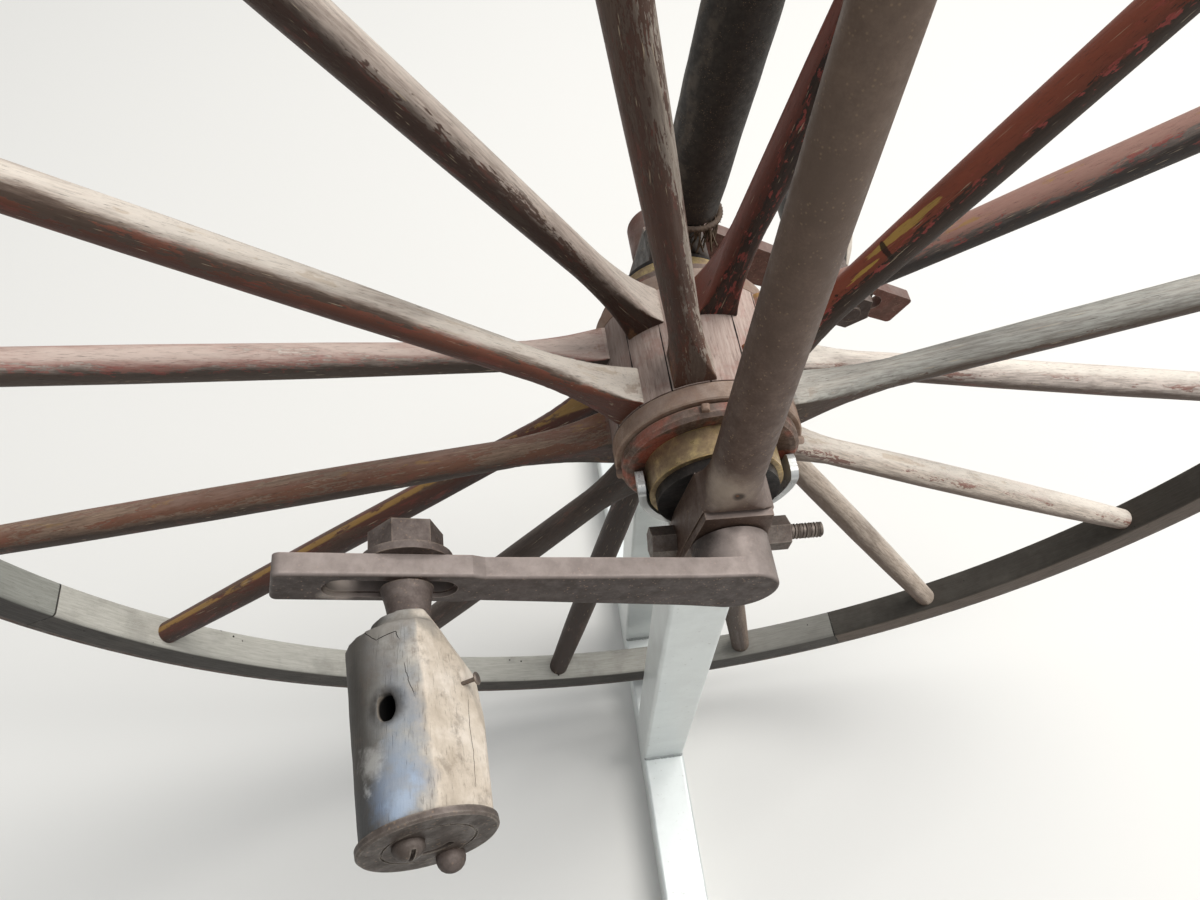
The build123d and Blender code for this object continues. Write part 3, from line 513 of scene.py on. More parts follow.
def rim_coat():
    """Smooth grey wood, dark on its sides, with four fine joints and a few worm holes."""
    coat = Coat("rim_wood_worn")
    hub = use("Hub Place", Place=coat.place, Seam_Angle=FELLOE_SEAM)
    grain = use("Wood Grain", Place=hub["Round"], Fineness=2.6)
    turn = hub["Angle"] / (math.pi / 2)
    felloe = (calc("FLOOR", turn) + 0.5) / 4.0
    side = blend(mapped(grain["Streaks"], 0.30, 0.62, 0.45, 0.0),
                 steps(felloe, FELLOE_SIDES, "CONSTANT"), tone("2c2926"))
    inner = steps(grain["Streaks"], [(0.30, "c3c0b8"), (0.55, "d8d5ce"), (0.75, "e2dfd9")])
    inner = blend(1.0, inner, steps(felloe, FELLOE_SHADES, "CONSTANT"), "MULTIPLY")
    # the lower felloe darkens towards its front joint
    quarter = calc("FRACT", turn)
    darkening = mapped(quarter, 0.50, 0.98, 0.0, 0.62) * calc("LESS_THAN", felloe, 0.25)
    inner = blend(darkening, inner, tone("2c2a28"))
    outward = fade(hub["Radius"], RIM_RADIUS + 0.0008, RIM_RADIUS + 0.0028)
    coat.colour = blend(outward, side, inner)
    # pale dust, together with painted light, on the faces that look up
    dust_and_lit_top = use("Settled Dust And Light", Place=coat.place, Amount=0.35, Evenness=0.5)
    coat.lay("a6a49c", dust_and_lit_top, 0.25)
    coat.lay("4a453f", grain["Pores"], 0.25)
    coat.lay("605a53", mapped(clouds(coat.place, 30.0, 5.0, 0.6), 0.48, 0.68), 0.3)
    holes = put("TexVoronoi", Vector=coat.place, Scale=110.0)
    few = mapped(clouds(coat.place, 40.0, 2.0), 0.54, 0.57)
    worm = fade(holes["Distance"], 0.07, 0.11) * few
    apart = calc("MINIMUM", quarter, 1.0 - quarter) * (RIM_RADIUS * math.pi / 2)
    dark = calc("MAXIMUM", worm, fade(apart, 0.0004, 0.0009))
    coat.lay("1c1916", dark)
    coat.rub("9a938a", 0.0015, 0.35)
    return coat.done(mapped(grain["Streaks"], 0.2, 0.8, 0.82, 0.62),
                     grain["Height"] - dark, 0.0003, 0.6)


STAVE_PITCH = math.pi / 8
STAVE_WIDTH = 0.0196
STAVE_JOINT_AT = 0.86


def nave_coat():
    """Dry pale wood with pink blushes of old paint, painted shade on the side away from the light,
    and fine black joints between its staves.
    """
    coat = Coat("nave_wood_dry")
    split = put("SeparateXYZ", Vector=aim("SUBTRACT", coat.place, tuple(HUB)))
    along = xyz(split["Y"], split["X"], split["Z"])
    grain = use("Wood Grain", Place=along, Fineness=2.2)
    coat.colour = steps(grain["Streaks"], [(0.28, "9d8a82"), (0.5, "b5a197"), (0.72, "c4b3a9")])
    coat.lay("9c6a60", mapped(clouds(coat.place, 70.0, 5.0, 0.65), 0.50, 0.66), 0.4)
    # painted shade on the faces turned away from the light
    coat.lay("54453d", fade(coat.towards(LIGHT_SIDE), -0.5, 0.8), 0.6)
    coat.lay("6b5850", mapped(grain["Patches"], 0.52, 0.70), 0.35)
    hub = use("Hub Place", Place=coat.place, Seam_Angle=FIRST_SPOKE - STAVE_PITCH / 4)
    aside = calc("ABSOLUTE", calc("FRACT", hub["Angle"] / STAVE_PITCH) - STAVE_JOINT_AT)
    wander = (clouds(coat.place, 60.0, 4.0, 0.6) - 0.5) * 0.05
    gap = calc("ABSOLUTE", aside + wander) * STAVE_WIDTH
    joint = fade(gap, 0.00018, 0.00042)
    coat.lay("1d1614", joint)
    coat.lay("3a2d28", grain["Pores"], 0.4)
    return coat.done(mapped(grain["Streaks"], 0.2, 0.8, 0.85, 0.62),
                     grain["Height"] - joint * 1.5, 0.0005, 0.7)


# Dark and scuffed patches of each pedal, and pale blue patches that are painted sky reflection:
# its place along and round it, its reach, its colour and its strength
PEDAL_STAINS_AND_REFLECTIONS = [
    (97.0, 152.0, 0.022, "4a4a4b", 0.75),
    # the blue patches in this list are painted sky reflection
    (93.0, 106.0, 0.017, "8fa5c3", 0.42),
    (97.0, 98.0, 0.009, "b4c6dd", 0.40),
    (79.0, 98.0, 0.012, "98a9bf", 0.34),
    (80.0, 128.0, 0.010, "c4c1bc", 0.60),
    (89.0, 134.0, 0.005, "d2d0cc", 0.50),
    (40.0, 118.0, 0.010, "77706a", 0.35),
    (30.0, 150.0, 0.014, "6a645d", 0.45),
    (22.0, 96.0, 0.016, "918b83", 0.85),
    (24.0, 66.0, 0.013, "968f86", 0.80),
    (67.0, 98.0, 0.010, "8b97a6", 0.35),
]
PEDAL_SKIN = 26.0


def pedal_wood_coat():
    """Wood of the pedals: grey with a painted blue sky reflection above, painted shade on its
    front, tan where shoes wore it flat.
    """
    coat = Coat("pedal_wood_polished")
    place = coat.place
    line = put("Mapping", Vector=place, Rotation=(0.0, 0.0, math.pi / 2))
    grain = use("Wood Grain", Place=line, Fineness=0.9)
    cloud = clouds(place, 55.0, 6.0, 0.68)
    grey = steps(cloud, [(0.32, "827d77"), (0.5, "96928b"), (0.66, "a9a59e")])
    tan = steps(cloud, [(0.32, "b3a594"), (0.5, "c9bcac"), (0.66, "dcd1c4")])
    rear = coat.towards((0.97, 0.12, 0.2))
    flat = mapped(rear + (clouds(place, 90.0, 4.0) - 0.5) * 0.5, 0.22, 0.62)
    coat.colour = blend(flat, grey, tan)
    # painted sky reflection: blue patches on the grey faces that look up
    sheen = mapped(clouds(place, 42.0, 5.0, 0.62, 0.5), 0.42, 0.66)
    high = mapped(coat.towards((0.1, -0.1, 0.98)), 0.45, 0.92)
    sky_reflection = sheen * high * (1.0 - flat)
    coat.lay("8795a6", sky_reflection, 0.30)
    # painted shade on the pedal's front, which faces away from the light
    shaded_front = mapped(coat.towards((-0.96, 0.0, 0.1)), 0.2, 0.85)
    coat.lay("3b3631", shaded_front, 0.92)
    coat.lay("63564d", mapped(clouds(place, 85.0, 7.0, 0.72), 0.53, 0.66), 0.38)
    coat.lay("5a4c42", fade(grain["Streaks"], 0.30, 0.55), 0.10)
    coat.lay("453a33", grain["Pores"], 0.25)
    coat.rub("6b5c50", 0.0015, 0.35)
    for side, _ in SIDES:
        for along, degrees, reach, code, strength in PEDAL_STAINS_AND_REFLECTIONS:
            spot = tuple(on_pedal(side, along, degrees, PEDAL_SKIN))
            away = aim("DISTANCE", place, spot) + (cloud - 0.5) * 0.03
            coat.lay(code, mapped(away, 0.25 * reach, reach, strength, 0.0))
        mouth = tuple(on_pedal(side, OIL_HOLE_AT, OIL_HOLE_TURN, PEDAL_SKIN - 0.5))
        ring = fade(aim("DISTANCE", place, mouth) + cloud * 0.006, 0.0075, 0.0125)
        coat.lay("3a3530", ring, 0.80)
        # the inside of the oil hole is painted near black as painted shade
        depth = tuple(on_pedal(side, OIL_HOLE_AT, OIL_HOLE_TURN, PEDAL_SKIN - 9.0))
        coat.lay("0b0908", fade(aim("DISTANCE", place, depth), 0.0072, 0.0084))
    return coat.done(mapped(sky_reflection + cloud * 0.3, 0.1, 1.1, 0.62, 0.3),
                     grain["Height"] + cloud * 2.0, 0.0004, 0.6)


# Metal

def iron(name, dark, mid, light, speck="8c7258", rub="a3917f", rough=(0.5, 0.75), size=1.0,
         metal=0.25, dust_and_light_amount=0.35, stain=None, depth=0.0003, even=0.3, marks=()):
    """Old iron. Each mark is a place, an inner and an outer reach, a colour and its strength."""
    coat = Coat(name, metal)
    old = use("Old Iron", Place=coat.place, Size=size)
    mottle = old["Mottle"]
    coat.colour = steps(mottle, [(0.25, dark), (0.5, mid), (0.75, light)])
    if stain:
        coat.lay(stain, mapped(old["Stain"], 0.46, 0.62), 0.6)
    coat.lay(dark, mapped(clouds(coat.place, 950.0, 3.0, 0.6), 0.3, 0.7, 0.42, 0.0))
    coat.lay(speck, old["Specks"], 0.6)
    # pale dust, which also stands for painted light, on the faces that look up
    coat.lay("9b8f89", use("Settled Dust And Light", Place=coat.place, Amount=dust_and_light_amount, Evenness=even))
    coat.rub(rub, 0.0012, 0.6)
    for place, inner, outer, code, strength in marks:
        away = aim("DISTANCE", coat.place, place) + (mottle - 0.5) * (outer - inner)
        coat.lay(code, mapped(away, inner, outer, strength, 0.0))
    return coat.done(mapped(mottle, 0.3, 0.7, rough[1], rough[0]), old["Height"], depth, 0.6)


def brass_coat():
    """Dull brass with brown patches and bright rubbed edges."""
    coat = Coat("brass_dull", 0.5)
    old = use("Old Iron", Place=coat.place, Size=1.2)
    mottle = old["Mottle"]
    coat.colour = steps(mottle, [(0.3, "86705a"), (0.5, "b09975"), (0.68, "dfc68c")])
    coat.lay("75604f", mapped(old["Stain"], 0.42, 0.56), 0.6)
    coat.rub("e0c07a", 0.0015, 0.8)
    return coat.done(mapped(mottle, 0.3, 0.7, 0.5, 0.26), old["Height"], 0.0002, 0.4)


def zinc_coat(name, code, rough):
    """Pale plated steel of the stand: faint spangles, fingerprints and drawn lines."""
    coat = Coat(name, 0.35)
    drawn = clouds(aim("MULTIPLY", coat.place, (40.0, 40.0, 1.0)), 12.0, 4.0, 0.6)
    blotch = clouds(coat.place, 30.0, 4.0, 0.6)
    base = tone(code)
    low = [v * 0.9 for v in base[:3]] + [1.0]
    coat.colour = blend(mapped(blotch, 0.35, 0.65), low, base)
    coat.lay("8b8378", mapped(clouds(coat.place, 260.0, 3.0, 0.6), 0.66, 0.74), 0.35)
    return coat.done(mapped(blotch + drawn * 0.3, 0.4, 0.9, rough - 0.08, rough + 0.14), drawn,
                     0.00008, 0.35)


# Oil and dust on the near leg and its block, with a pale spot on the block's top that is dust and
# painted light, and wear round the near crank's slot
OILY_AND_LIT_TOP = [((-0.0310, -0.0725, -0.2700), 0.0300, 0.2000, "8f7f6f", 0.24),
            # dust and painted light on the block's sloping top
            ((-0.0510, -0.0925, -0.5120), 0.0010, 0.0190, "b8a797", 0.85),
            ((-0.0445, -0.0938, -0.5146), 0.0014, 0.0042, "2a201a", 0.85),
            ((-0.0452, -0.0936, -0.5138), 0.0003, 0.0012, "8a5a38", 0.6)]
WORN_SLOT = [((-0.0610, -0.0965, -0.5440), 0.0030, 0.0150, "28201d", 0.80),
             ((-0.0450, -0.0960, -0.5380), 0.0010, 0.0060, "3a302c", 0.60),
             ((-0.2236, -0.1200, -0.5052), 0.0020, 0.0085, "b5a79c", 0.75),
             ((-0.2290, -0.1200, -0.5030), 0.0015, 0.0060, "c2b6ab", 0.6)]

NEAR_SPOKES = spoke_coat("spoke_wood_near", FIRST_SPOKE, SPOKE_LOOKS[0::2], LINING_SPOTS)
FAR_SPOKES = spoke_coat("spoke_wood_far", FIRST_SPOKE + SPOKE_PITCH / 2, SPOKE_LOOKS[1::2])
RIM_WOOD = rim_coat()
NAVE_WOOD = nave_coat()
PEDAL_WOOD = pedal_wood_coat()
FORK_IRON = iron("fork_iron", "4b382f", "5c483d", "6d584a", rub="a08b7b", dust_and_light_amount=0.6,
                 stain="4c392f", rough=(0.42, 0.62), even=0.8, marks=OILY_AND_LIT_TOP)
FAR_IRON = iron("fork_iron_far", "2b2521", "3a332d", "4c443d", rub="85776a", dust_and_light_amount=0.45,
                stain="352b25", rough=(0.42, 0.62))
# the crank's pale upward faces are dust and painted light together
CRANK_IRON = iron("crank_iron", "2a1c16", "35261f", "45332a", rub="a6958c", dust_and_light_amount=0.95,
                  stain="3d2b25", speck="9a7a64", even=0.7, rough=(0.4, 0.6), marks=WORN_SLOT)
FAR_CRANK_IRON = iron("crank_iron_far", "44291f", "5f3a2d", "7a5142", dust_and_light_amount=0.5, rub="a6958c",
                      stain="6d3a2c", rough=(0.4, 0.6), even=0.5)
PIN_IRON = iron("pin_iron", "362b26", "4b3e38", "635650", dust_and_light_amount=0.55, stain="42332e")
BAND_IRON = iron("band_iron", "786152", "9c8473", "b7a292", dust_and_light_amount=0.5, stain="845f49",
                 rub="b9a18c", metal=0.1, rough=(0.6, 0.8), depth=0.0006)
RING_IRON = iron("ring_iron", "46362c", "645044", "877163", dust_and_light_amount=0.4, stain="b8583f",
                 rub="b79a86", metal=0.15, size=2.3)
TYRE_IRON = iron("tyre_iron", "3e3733", "574e49", "6d645e", dust_and_light_amount=0.3, stain="5a4236",
                 rub="8d8378", rough=(0.45, 0.7))
WASHER_IRON = iron("washer_iron", "161413", "242120", "38322f", dust_and_light_amount=0.12, rub="5d554e",
                   speck="4a3f38", rough=(0.35, 0.6), metal=0.4)
PLATE_IRON = iron("pedal_plate_iron", "302721", "41362e", "574b41", dust_and_light_amount=0.5, stain="41342b",
                  rub="a89e91", rough=(0.4, 0.65), metal=0.3)
BOLT_IRON = iron("bolt_iron", "453d38", "625851", "7d736a", dust_and_light_amount=0.25, stain="55423a",
                 rub="a79b8e", rough=(0.42, 0.66), metal=0.5, size=1.6, depth=0.0002)
SLEEVE_LEATHER = iron("sleeve_leather", "27221e", "312b26", "40382f", dust_and_light_amount=0.1, rub="5a5046",
                      metal=0.0, rough=(0.5, 0.7), size=2.0, depth=0.0002)
CORD_FIBRE = iron("cord_fibre", "30261f", "4c3d30", "755f49", dust_and_light_amount=0.2, rub="8f7d66", metal=0.0,
                  rough=(0.8, 0.95), size=4.0, depth=0.0001)
WELD_METAL = iron("weld_metal", "8c908f", "a9adab", "c6c9c7", dust_and_light_amount=0.0, rub="d6d8d6", metal=0.5,
                  rough=(0.35, 0.5), size=3.0, depth=0.0001)
BRASS = brass_coat()
STAND_ZINC = zinc_coat("stand_zinc", "e2e6e4", 0.36)
CRADLE_ZINC = zinc_coat("cradle_zinc", "d2d3d1", 0.2)
DARK_GAP = iron("dark_crack", "0f0c0b", "1a1513", "241d1a", dust_and_light_amount=0.0, rub="241d1a", metal=0.0,
                rough=(0.85, 0.95))

# Each node takes the first material whose word its name starts with
NODE_COATS = [
    ("felloe", RIM_WOOD), ("tyre", TYRE_IRON), ("spokes_near", NEAR_SPOKES),
    ("spokes_far", FAR_SPOKES), ("nave_band", BAND_IRON), ("nave", NAVE_WOOD),
    ("end_ring", RING_IRON), ("brass_collar", BRASS), ("thrust_washer", WASHER_IRON),
    ("axle", CRANK_IRON), ("crank_right", FAR_CRANK_IRON), ("crank", CRANK_IRON),
    ("pedal_pin", PIN_IRON), ("pin_nut", PIN_IRON), ("pedal_barrel", PEDAL_WOOD),
    ("pedal_plate", PLATE_IRON), ("fork_leg_right", FAR_IRON), ("fork", FORK_IRON),
    ("bearing_plate", FORK_IRON), ("clamp_bolt", BOLT_IRON), ("stand_cradle", CRADLE_ZINC),
    ("stand", STAND_ZINC),
]
for name, node in NODES.items():
    material = [made for start, made in NODE_COATS if name.startswith(start)][0]
    node.data.materials.clear()
    node.data.materials.append(material)


# Small pieces

def settle(mesh, name, body, material=None, angle=40.0):
    """Makes a finished piece of a mesh that is already in place."""
    if material:
        mesh.materials.clear()
        mesh.materials.append(material)
    shape = bmesh.new()
    shape.from_mesh(mesh)
    bmesh.ops.recalc_face_normals(shape, faces=shape.faces)
    shape.to_mesh(mesh)
    shape.free()
    mesh.shade_smooth()
    mesh.set_sharp_from_angle(angle=math.radians(angle))
    piece = linked(name, mesh)
    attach(piece, body)
    return piece


def in_fork(x, y, z):
    """A point in millimetres of the leaning fork, from the axle's middle, as a place."""
    return HUB + Matrix.Rotation(RAKE, 4, "Y") @ Vector((x * MM, y * MM, z * MM))


def round_steps(count):
    return [2 * math.pi * k / count for k in range(count)]


def skin(rings, name, looped=False):
    """A closed mesh through rings of points: with its ends covered, or with its last ring joined
    to its first."""
    count = len(rings[0])
    points = [tuple(point) for ring in rings for point in ring]
    faces = []
    for i in range(len(rings) if looped else len(rings) - 1):
        low = i * count
        high = ((i + 1) % len(rings)) * count
        for k in range(count):
            after = (k + 1) % count
            faces.append((low + k, low + after, high + after, high + k))
    if not looped:
        faces.append(tuple(range(count)))
        faces.append(tuple(range(len(points) - count, len(points))))
    mesh = bpy.data.meshes.new(name)
    mesh.from_pydata(points, [], faces)
    return mesh


def turned(profile, name, sides):
    """A turned shape along Z from (radius, height) pairs in millimetres."""
    return skin([[(radius * MM * math.cos(turn), radius * MM * math.sin(turn), height * MM)
                  for turn in round_steps(sides)] for radius, height in profile], name)


def plain(maker):
    """The plain mesh that an object's modifiers make, in the object's place."""
    bpy.context.view_layer.update()
    graph = bpy.context.evaluated_depsgraph_get()
    mesh = bpy.data.meshes.new_from_object(maker.evaluated_get(graph))
    bpy.data.objects.remove(maker)
    return mesh


def worked(mesh, kinds):
    """The mesh after a row of modifiers: each is a kind and its settings."""
    maker = linked("maker", mesh)
    for kind, settings in kinds:
        modifier = maker.modifiers.new(kind.lower(), kind)
        for name, value in settings.items():
            setattr(modifier, name, value)
    return plain(maker)


def grown(tree, **settings):
    """The mesh that a geometry tree gives with these named inputs."""
    maker = linked("maker", bpy.data.meshes.new("holder"))
    modifier = maker.modifiers.new("tree", "NODES")
    modifier.node_group = tree
    for item in tree.interface.items_tree:
        if item.item_type == "SOCKET" and item.in_out == "INPUT" and item.name in settings:
            modifier[item.identifier] = settings[item.name]
    return plain(maker)


def joined(meshes, name):
    shape = bmesh.new()
    for mesh in meshes:
        shape.from_mesh(mesh)
    result = bpy.data.meshes.new(name)
    shape.to_mesh(result)
    shape.free()
    return result


def spin(degrees, axis):
    return Matrix.Rotation(math.radians(degrees), 4, axis)


# Geometry trees. Each takes a material, realizes its instances and sets that material.

def start_tree(name, **inputs):
    return start_group(name, "GeometryNodeTree", Material="NodeSocketMaterial", **inputs)


def end_tree(given, geometry):
    real = put("GeometryNodeRealizeInstances", Geometry=geometry)
    return end_group(given, Geometry=put("GeometryNodeSetMaterial", Geometry=real,
                                         Material=given["Material"]))


def swept(given, curve, radius):
    """A square bar along a curve, its corners at this radius."""
    profile = put("GeometryNodeCurvePrimitiveCircle", tree=given.tree, Resolution=4,
                  Radius=radius)
    return put("GeometryNodeCurveToMesh", Curve=curve, Profile_Curve=profile, Fill_Caps=True)


def scatter(seed, low, high):
    """A random vector between two corners for each point."""
    return put("FunctionNodeRandomValue", {"data_type": "FLOAT_VECTOR"}, n0=low, n1=high,
               Seed=seed)


def thread_tree():
    given = start_tree("Thread Ridge", Radius=FLOAT, Pitch=FLOAT, Length=FLOAT, Ridge=FLOAT)
    spiral = put("GeometryNodeCurveSpiral", Resolution=28, Start_Radius=given["Radius"],
                 End_Radius=given["Radius"], Height=given["Length"],
                 Rotations=given["Length"] / given["Pitch"])
    return end_tree(given, swept(given, spiral, given["Ridge"]))


def fibre_tree():
    given = start_tree("Frayed Fibres", Wide=FLOAT, Deep=FLOAT, Length=FLOAT,
                       Count=WHOLE, Seed=WHOLE)
    ring = put("GeometryNodeMeshCircle", Vertices=given["Count"])
    oval = xyz(given["Wide"], given["Deep"], 1.0)
    ring = put("GeometryNodeTransform", Geometry=ring, Scale=oval)
    jitter = scatter(given["Seed"], (-0.0012, -0.0012, -0.0022), (0.0012, 0.0012, 0.0012))
    ring = put("GeometryNodeSetPosition", Geometry=ring, Offset=jitter)
    tip = xyz(0.0018, 0.0008, given["Length"] * -1.0)
    bend = xyz(0.0026, -0.0012, given["Length"] * -0.5)
    hair = put("GeometryNodeCurveQuadraticBezier", Resolution=5, Start=(0.0, 0.0, 0.001),
               Middle=bend, End=tip)
    turns = scatter(given["Seed"] + 1.0, (-0.35, -0.35, 0.0), (0.35, 0.35, 6.283))
    sizes = put("FunctionNodeRandomValue", n2=0.35, n3=1.5, Seed=given["Seed"] + 2.0)[1]
    return end_tree(given, put(
        "GeometryNodeInstanceOnPoints", Points=ring, Instance=swept(given, hair, 0.00042),
        Rotation=turns, Scale=sizes))


def weld_tree():
    given = start_tree("Weld Bead", Start=VECTOR, End=VECTOR, Size=FLOAT, Seed=WHOLE)
    line = put("GeometryNodeCurvePrimitiveLine", Start=given["Start"], End=given["End"])
    line = put("GeometryNodeResampleCurve", {"mode": "LENGTH"}, Curve=line,
               Length=given["Size"] * 0.62)
    points = put("GeometryNodeCurveToPoints", {"mode": "EVALUATED"}, Curve=line)
    drop = put("GeometryNodeMeshIcoSphere", Radius=given["Size"], Subdivisions=3)
    return end_tree(given, put(
        "GeometryNodeInstanceOnPoints", Points=points["Points"], Instance=drop,
        Scale=scatter(given["Seed"], (0.8, 0.8, 0.7), (1.15, 1.1, 1.0))))


# Clamp bolts: their threads, from the nut's outer face on

BOLT_THREAD_AT = (40.75, 80.95, -25.5)


def add_bolt_threads():
    tree = thread_tree()
    for side, sign in SIDES:
        mesh = grown(tree, Radius=0.0035, Pitch=0.0016, Length=0.0188, Ridge=0.0008,
                     Material=BOLT_IRON)
        x, y, z = BOLT_THREAD_AT
        along = Matrix.Rotation(RAKE + math.pi / 2, 4, "Y")
        mesh.transform(moved(in_fork(x, sign * y, z)) @ along)
        settle(mesh, f"bolt_thread_{side}", "fork_and_stand", angle=25.0)


add_bolt_threads()


# Pedals: worn round at every edge, with drying cracks, a nail and the end plate's screws

BORE_RADIUS = 0.013


def wear_pedal(side):
    """A barrel whose edges feet have rounded, in place of its solid. Gives its surface."""
    name = f"pedal_barrel_{side}"
    mesh = worked(NODES[name].data.copy(), [
        ("WELD", {"merge_threshold": 0.00001}),
        ("REMESH", {"mode": "VOXEL", "voxel_size": 0.0009}),
        ("SMOOTH", {"factor": 0.5, "iterations": 7})])
    frame_of = pedal_frame(side)
    back = frame_of.inverted()
    for vertex in mesh.vertices:
        local = back @ vertex.co
        radius = math.hypot(local.x, local.y)
        if radius < BORE_RADIUS:
            continue
        uneven = noise.noise(local * 55.0) + 0.4 * noise.noise(local * 160.0)
        inward = 1.0 - (0.0002 + 0.00022 * uneven) / radius
        vertex.co = frame_of @ Vector((local.x * inward, local.y * inward, local.z))
    barrel = settle(mesh, f"{name}_worn", f"pedal_{side}", PEDAL_WOOD, 180.0)
    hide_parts(name)
    return BVHTree.FromPolygons([v.co for v in mesh.vertices],
                                [p.vertices for p in mesh.polygons])


def on_barrel(side, surface, along, degrees):
    """Where a barrel's surface is, along and round its pin, and the way it faces."""
    far = on_pedal(side, along, degrees, 45.0)
    inward = (on_pedal(side, along, degrees, 0.0) - far).normalized()
    spot, normal, _, _ = surface.ray_cast(far, inward)
    return spot, normal if normal.dot(inward) < 0 else -normal, inward


# Each crack's name, its width and its path: millimetres along the barrel and degrees round it
CRACKS = [
    ("pedal_crack_start", 0.75, [(26.6, 127.0), (30.2, 121.0), (34.4, 112.0), (33.6, 101.0),
                                 (33.2, 94.0), (35.4, 92.5), (37.2, 91.0)]),
    ("pedal_crack_middle", 0.6, [(46.5, 89.0), (50.0, 88.2), (55.0, 86.0), (61.0, 82.0)]),
    ("pedal_crack_back", 0.5, [(30.0, 262.0), (44.0, 266.0), (52.0, 264.5), (66.0, 269.0)]),
    ("pedal_crack_rear", 0.45, [(58.0, 20.0), (70.0, 22.5), (79.0, 21.0), (92.0, 24.0)]),
]
CRACK_STEPS = 8


def add_cracks(side, surface):
    """Dark splits that follow the wood, a hair proud of it so that they show."""
    for name, width, path in CRACKS:
        places = []
        for (s0, a0), (s1, a1) in zip(path, path[1:]):
            for k in range(CRACK_STEPS):
                share = k / CRACK_STEPS
                along = s0 + (s1 - s0) * share
                jitter = 0.9 * noise.noise(Vector((along * 0.9, a0 * 0.1, 3.0)))
                places.append((along, a0 + (a1 - a0) * share + jitter))
        places.append(path[-1])
        hits = [on_barrel(side, surface, *place) for place in places]
        rings = []
        for k, (spot, normal, _) in enumerate(hits):
            ahead = hits[min(k + 1, len(hits) - 1)][0] - hits[max(k - 1, 0)][0]
            aside = ahead.cross(normal).normalized()
            share = k / (len(hits) - 1)
            half = 0.5 * width * MM * (0.12 + 0.88 * math.sin(math.pi * share) ** 0.6)
            half *= 1.0 + 0.5 * noise.noise(spot * 700.0)
            rings.append([spot + aside * half - normal * 0.00015, spot + normal * 0.00012,
                          spot - aside * half - normal * 0.00015, spot - normal * 0.0008])
        settle(skin(rings, name), f"{name}_{side}", f"pedal_{side}", DARK_GAP)


PLATE_THICKNESS = 3.2
PLATE_TILT = 5.0


def add_plate_screws(side):
    """A slotted screw and a round bolt on the end plate, which sits a little askew."""
    face = moved((0.0, 0.0, (PEDAL_END_AT + PLATE_THICKNESS) * MM))
    place = pedal_frame(side) @ face @ spin(PLATE_TILT, "Y")
    dome = turned([(5.0, -1.0), (5.9, 0.3), (6.0, 1.4), (5.6, 2.6), (4.8, 3.8), (3.6, 4.8),
                   (2.0, 5.4), (0.4, 5.6)], "dome", 40)
    slot = turned([(20.0, 0.0), (20.0, 10.0)], "slot", 4)
    slot.transform(moved((0.0, 0.0, 0.0036)) @ Matrix.Diagonal(
        (1.0, 0.06, 1.0, 1.0)) @ spin(45.0, "Z"))
    cutter = linked("cutter", slot)
    dome = worked(dome, [("BOOLEAN", {"operation": "DIFFERENCE", "object": cutter,
                                      "solver": "EXACT"})])
    bpy.data.objects.remove(cutter)
    dome.transform(place @ moved((-6.0 * MM, 7.0 * MM, 0.0)) @ spin(62.0, "Z"))
    settle(dome, f"plate_screw_{side}", f"pedal_{side}", PLATE_IRON, 35.0)
    bolt = turned([(4.8, -1.0), (5.5, 0.2), (5.6, 1.8), (5.2, 3.4), (4.4, 4.8), (3.2, 5.8),
                   (1.8, 6.4), (0.4, 6.6)], "bolt", 36)
    bolt.transform(place @ moved((5.0 * MM, -18.6 * MM, 0.0)))
    settle(bolt, f"plate_bolt_{side}", f"pedal_{side}", PIN_IRON, 35.0)


NAIL_AT = (51.8, 25.0)


def add_nail(surface):
    """A nail half driven into the near pedal."""
    spot, _, inward = on_barrel("left", surface, *NAIL_AT)
    nail = turned([(0.8, -6.0), (0.85, 4.6), (1.2, 5.4), (2.5, 5.7), (2.7, 6.1), (2.3, 6.6),
                   (0.4, 6.8)], "nail", 16)
    lean = (-inward).to_track_quat("Z", "Y").to_matrix().to_4x4()
    nail.transform(moved(spot) @ lean @ spin(7.0, "X"))
    settle(nail, "pedal_nail", "pedal_left", BOLT_IRON, 35.0)


WORN = {side: wear_pedal(side) for side, _ in SIDES}
for pedal_side, _ in SIDES:
    add_cracks(pedal_side, WORN[pedal_side])
    add_plate_screws(pedal_side)
add_nail(WORN["left"])


# Hub: the pins that hold each end ring

RING_RADIUS = 0.0468
RING_AXIAL = 0.0457
FIRST_PIN = 98.2


def add_ring_pins():
    for side, sign in SIDES:
        pins = []
        for quarter in range(4):
            angle = math.radians(FIRST_PIN + 90.0 * quarter)
            head = turned([(2.7, -1.5), (2.9, 2.0), (2.6, 2.9), (1.7, 3.3), (0.3, 3.4)], "head", 4)
            head = worked(head, [("BEVEL", {"width": 0.0005, "segments": 2,
                                            "limit_method": "ANGLE"})])
            outwards = Vector((math.cos(angle), 0.0, math.sin(angle)))
            place = HUB + outwards * RING_RADIUS + Vector((0.0, sign * RING_AXIAL, 0.0))
            turn = outwards.to_track_quat("Z", "Y").to_matrix().to_4x4()
            head.transform(moved(place) @ turn @ spin(38.0 + 17.0 * quarter, "Z"))
            pins.append(head)
        settle(joined(pins, "pins"), f"ring_pins_{side}", "wheel", BAND_IRON, 30.0)


add_ring_pins()


# Far fork leg: the dark sleeve laced round it, its cords and the fibres that fray below it.
# Lengths are in millimetres of the fork.

SLEEVE_LOW = 58.0
SLEEVE_HIGH = 330.0
SLEEVE_ROWS = 68
# The sleeve bulges behind the leg, more and more up to this height above its lower end
BULGE_RISE = 120.0
LAP = (2.0, 2.55)
CORD_BEHIND = 8.0
CORD_ASIDE = 2.6
CORD_RADIUS = 1.75
CORD_TWISTS = 16


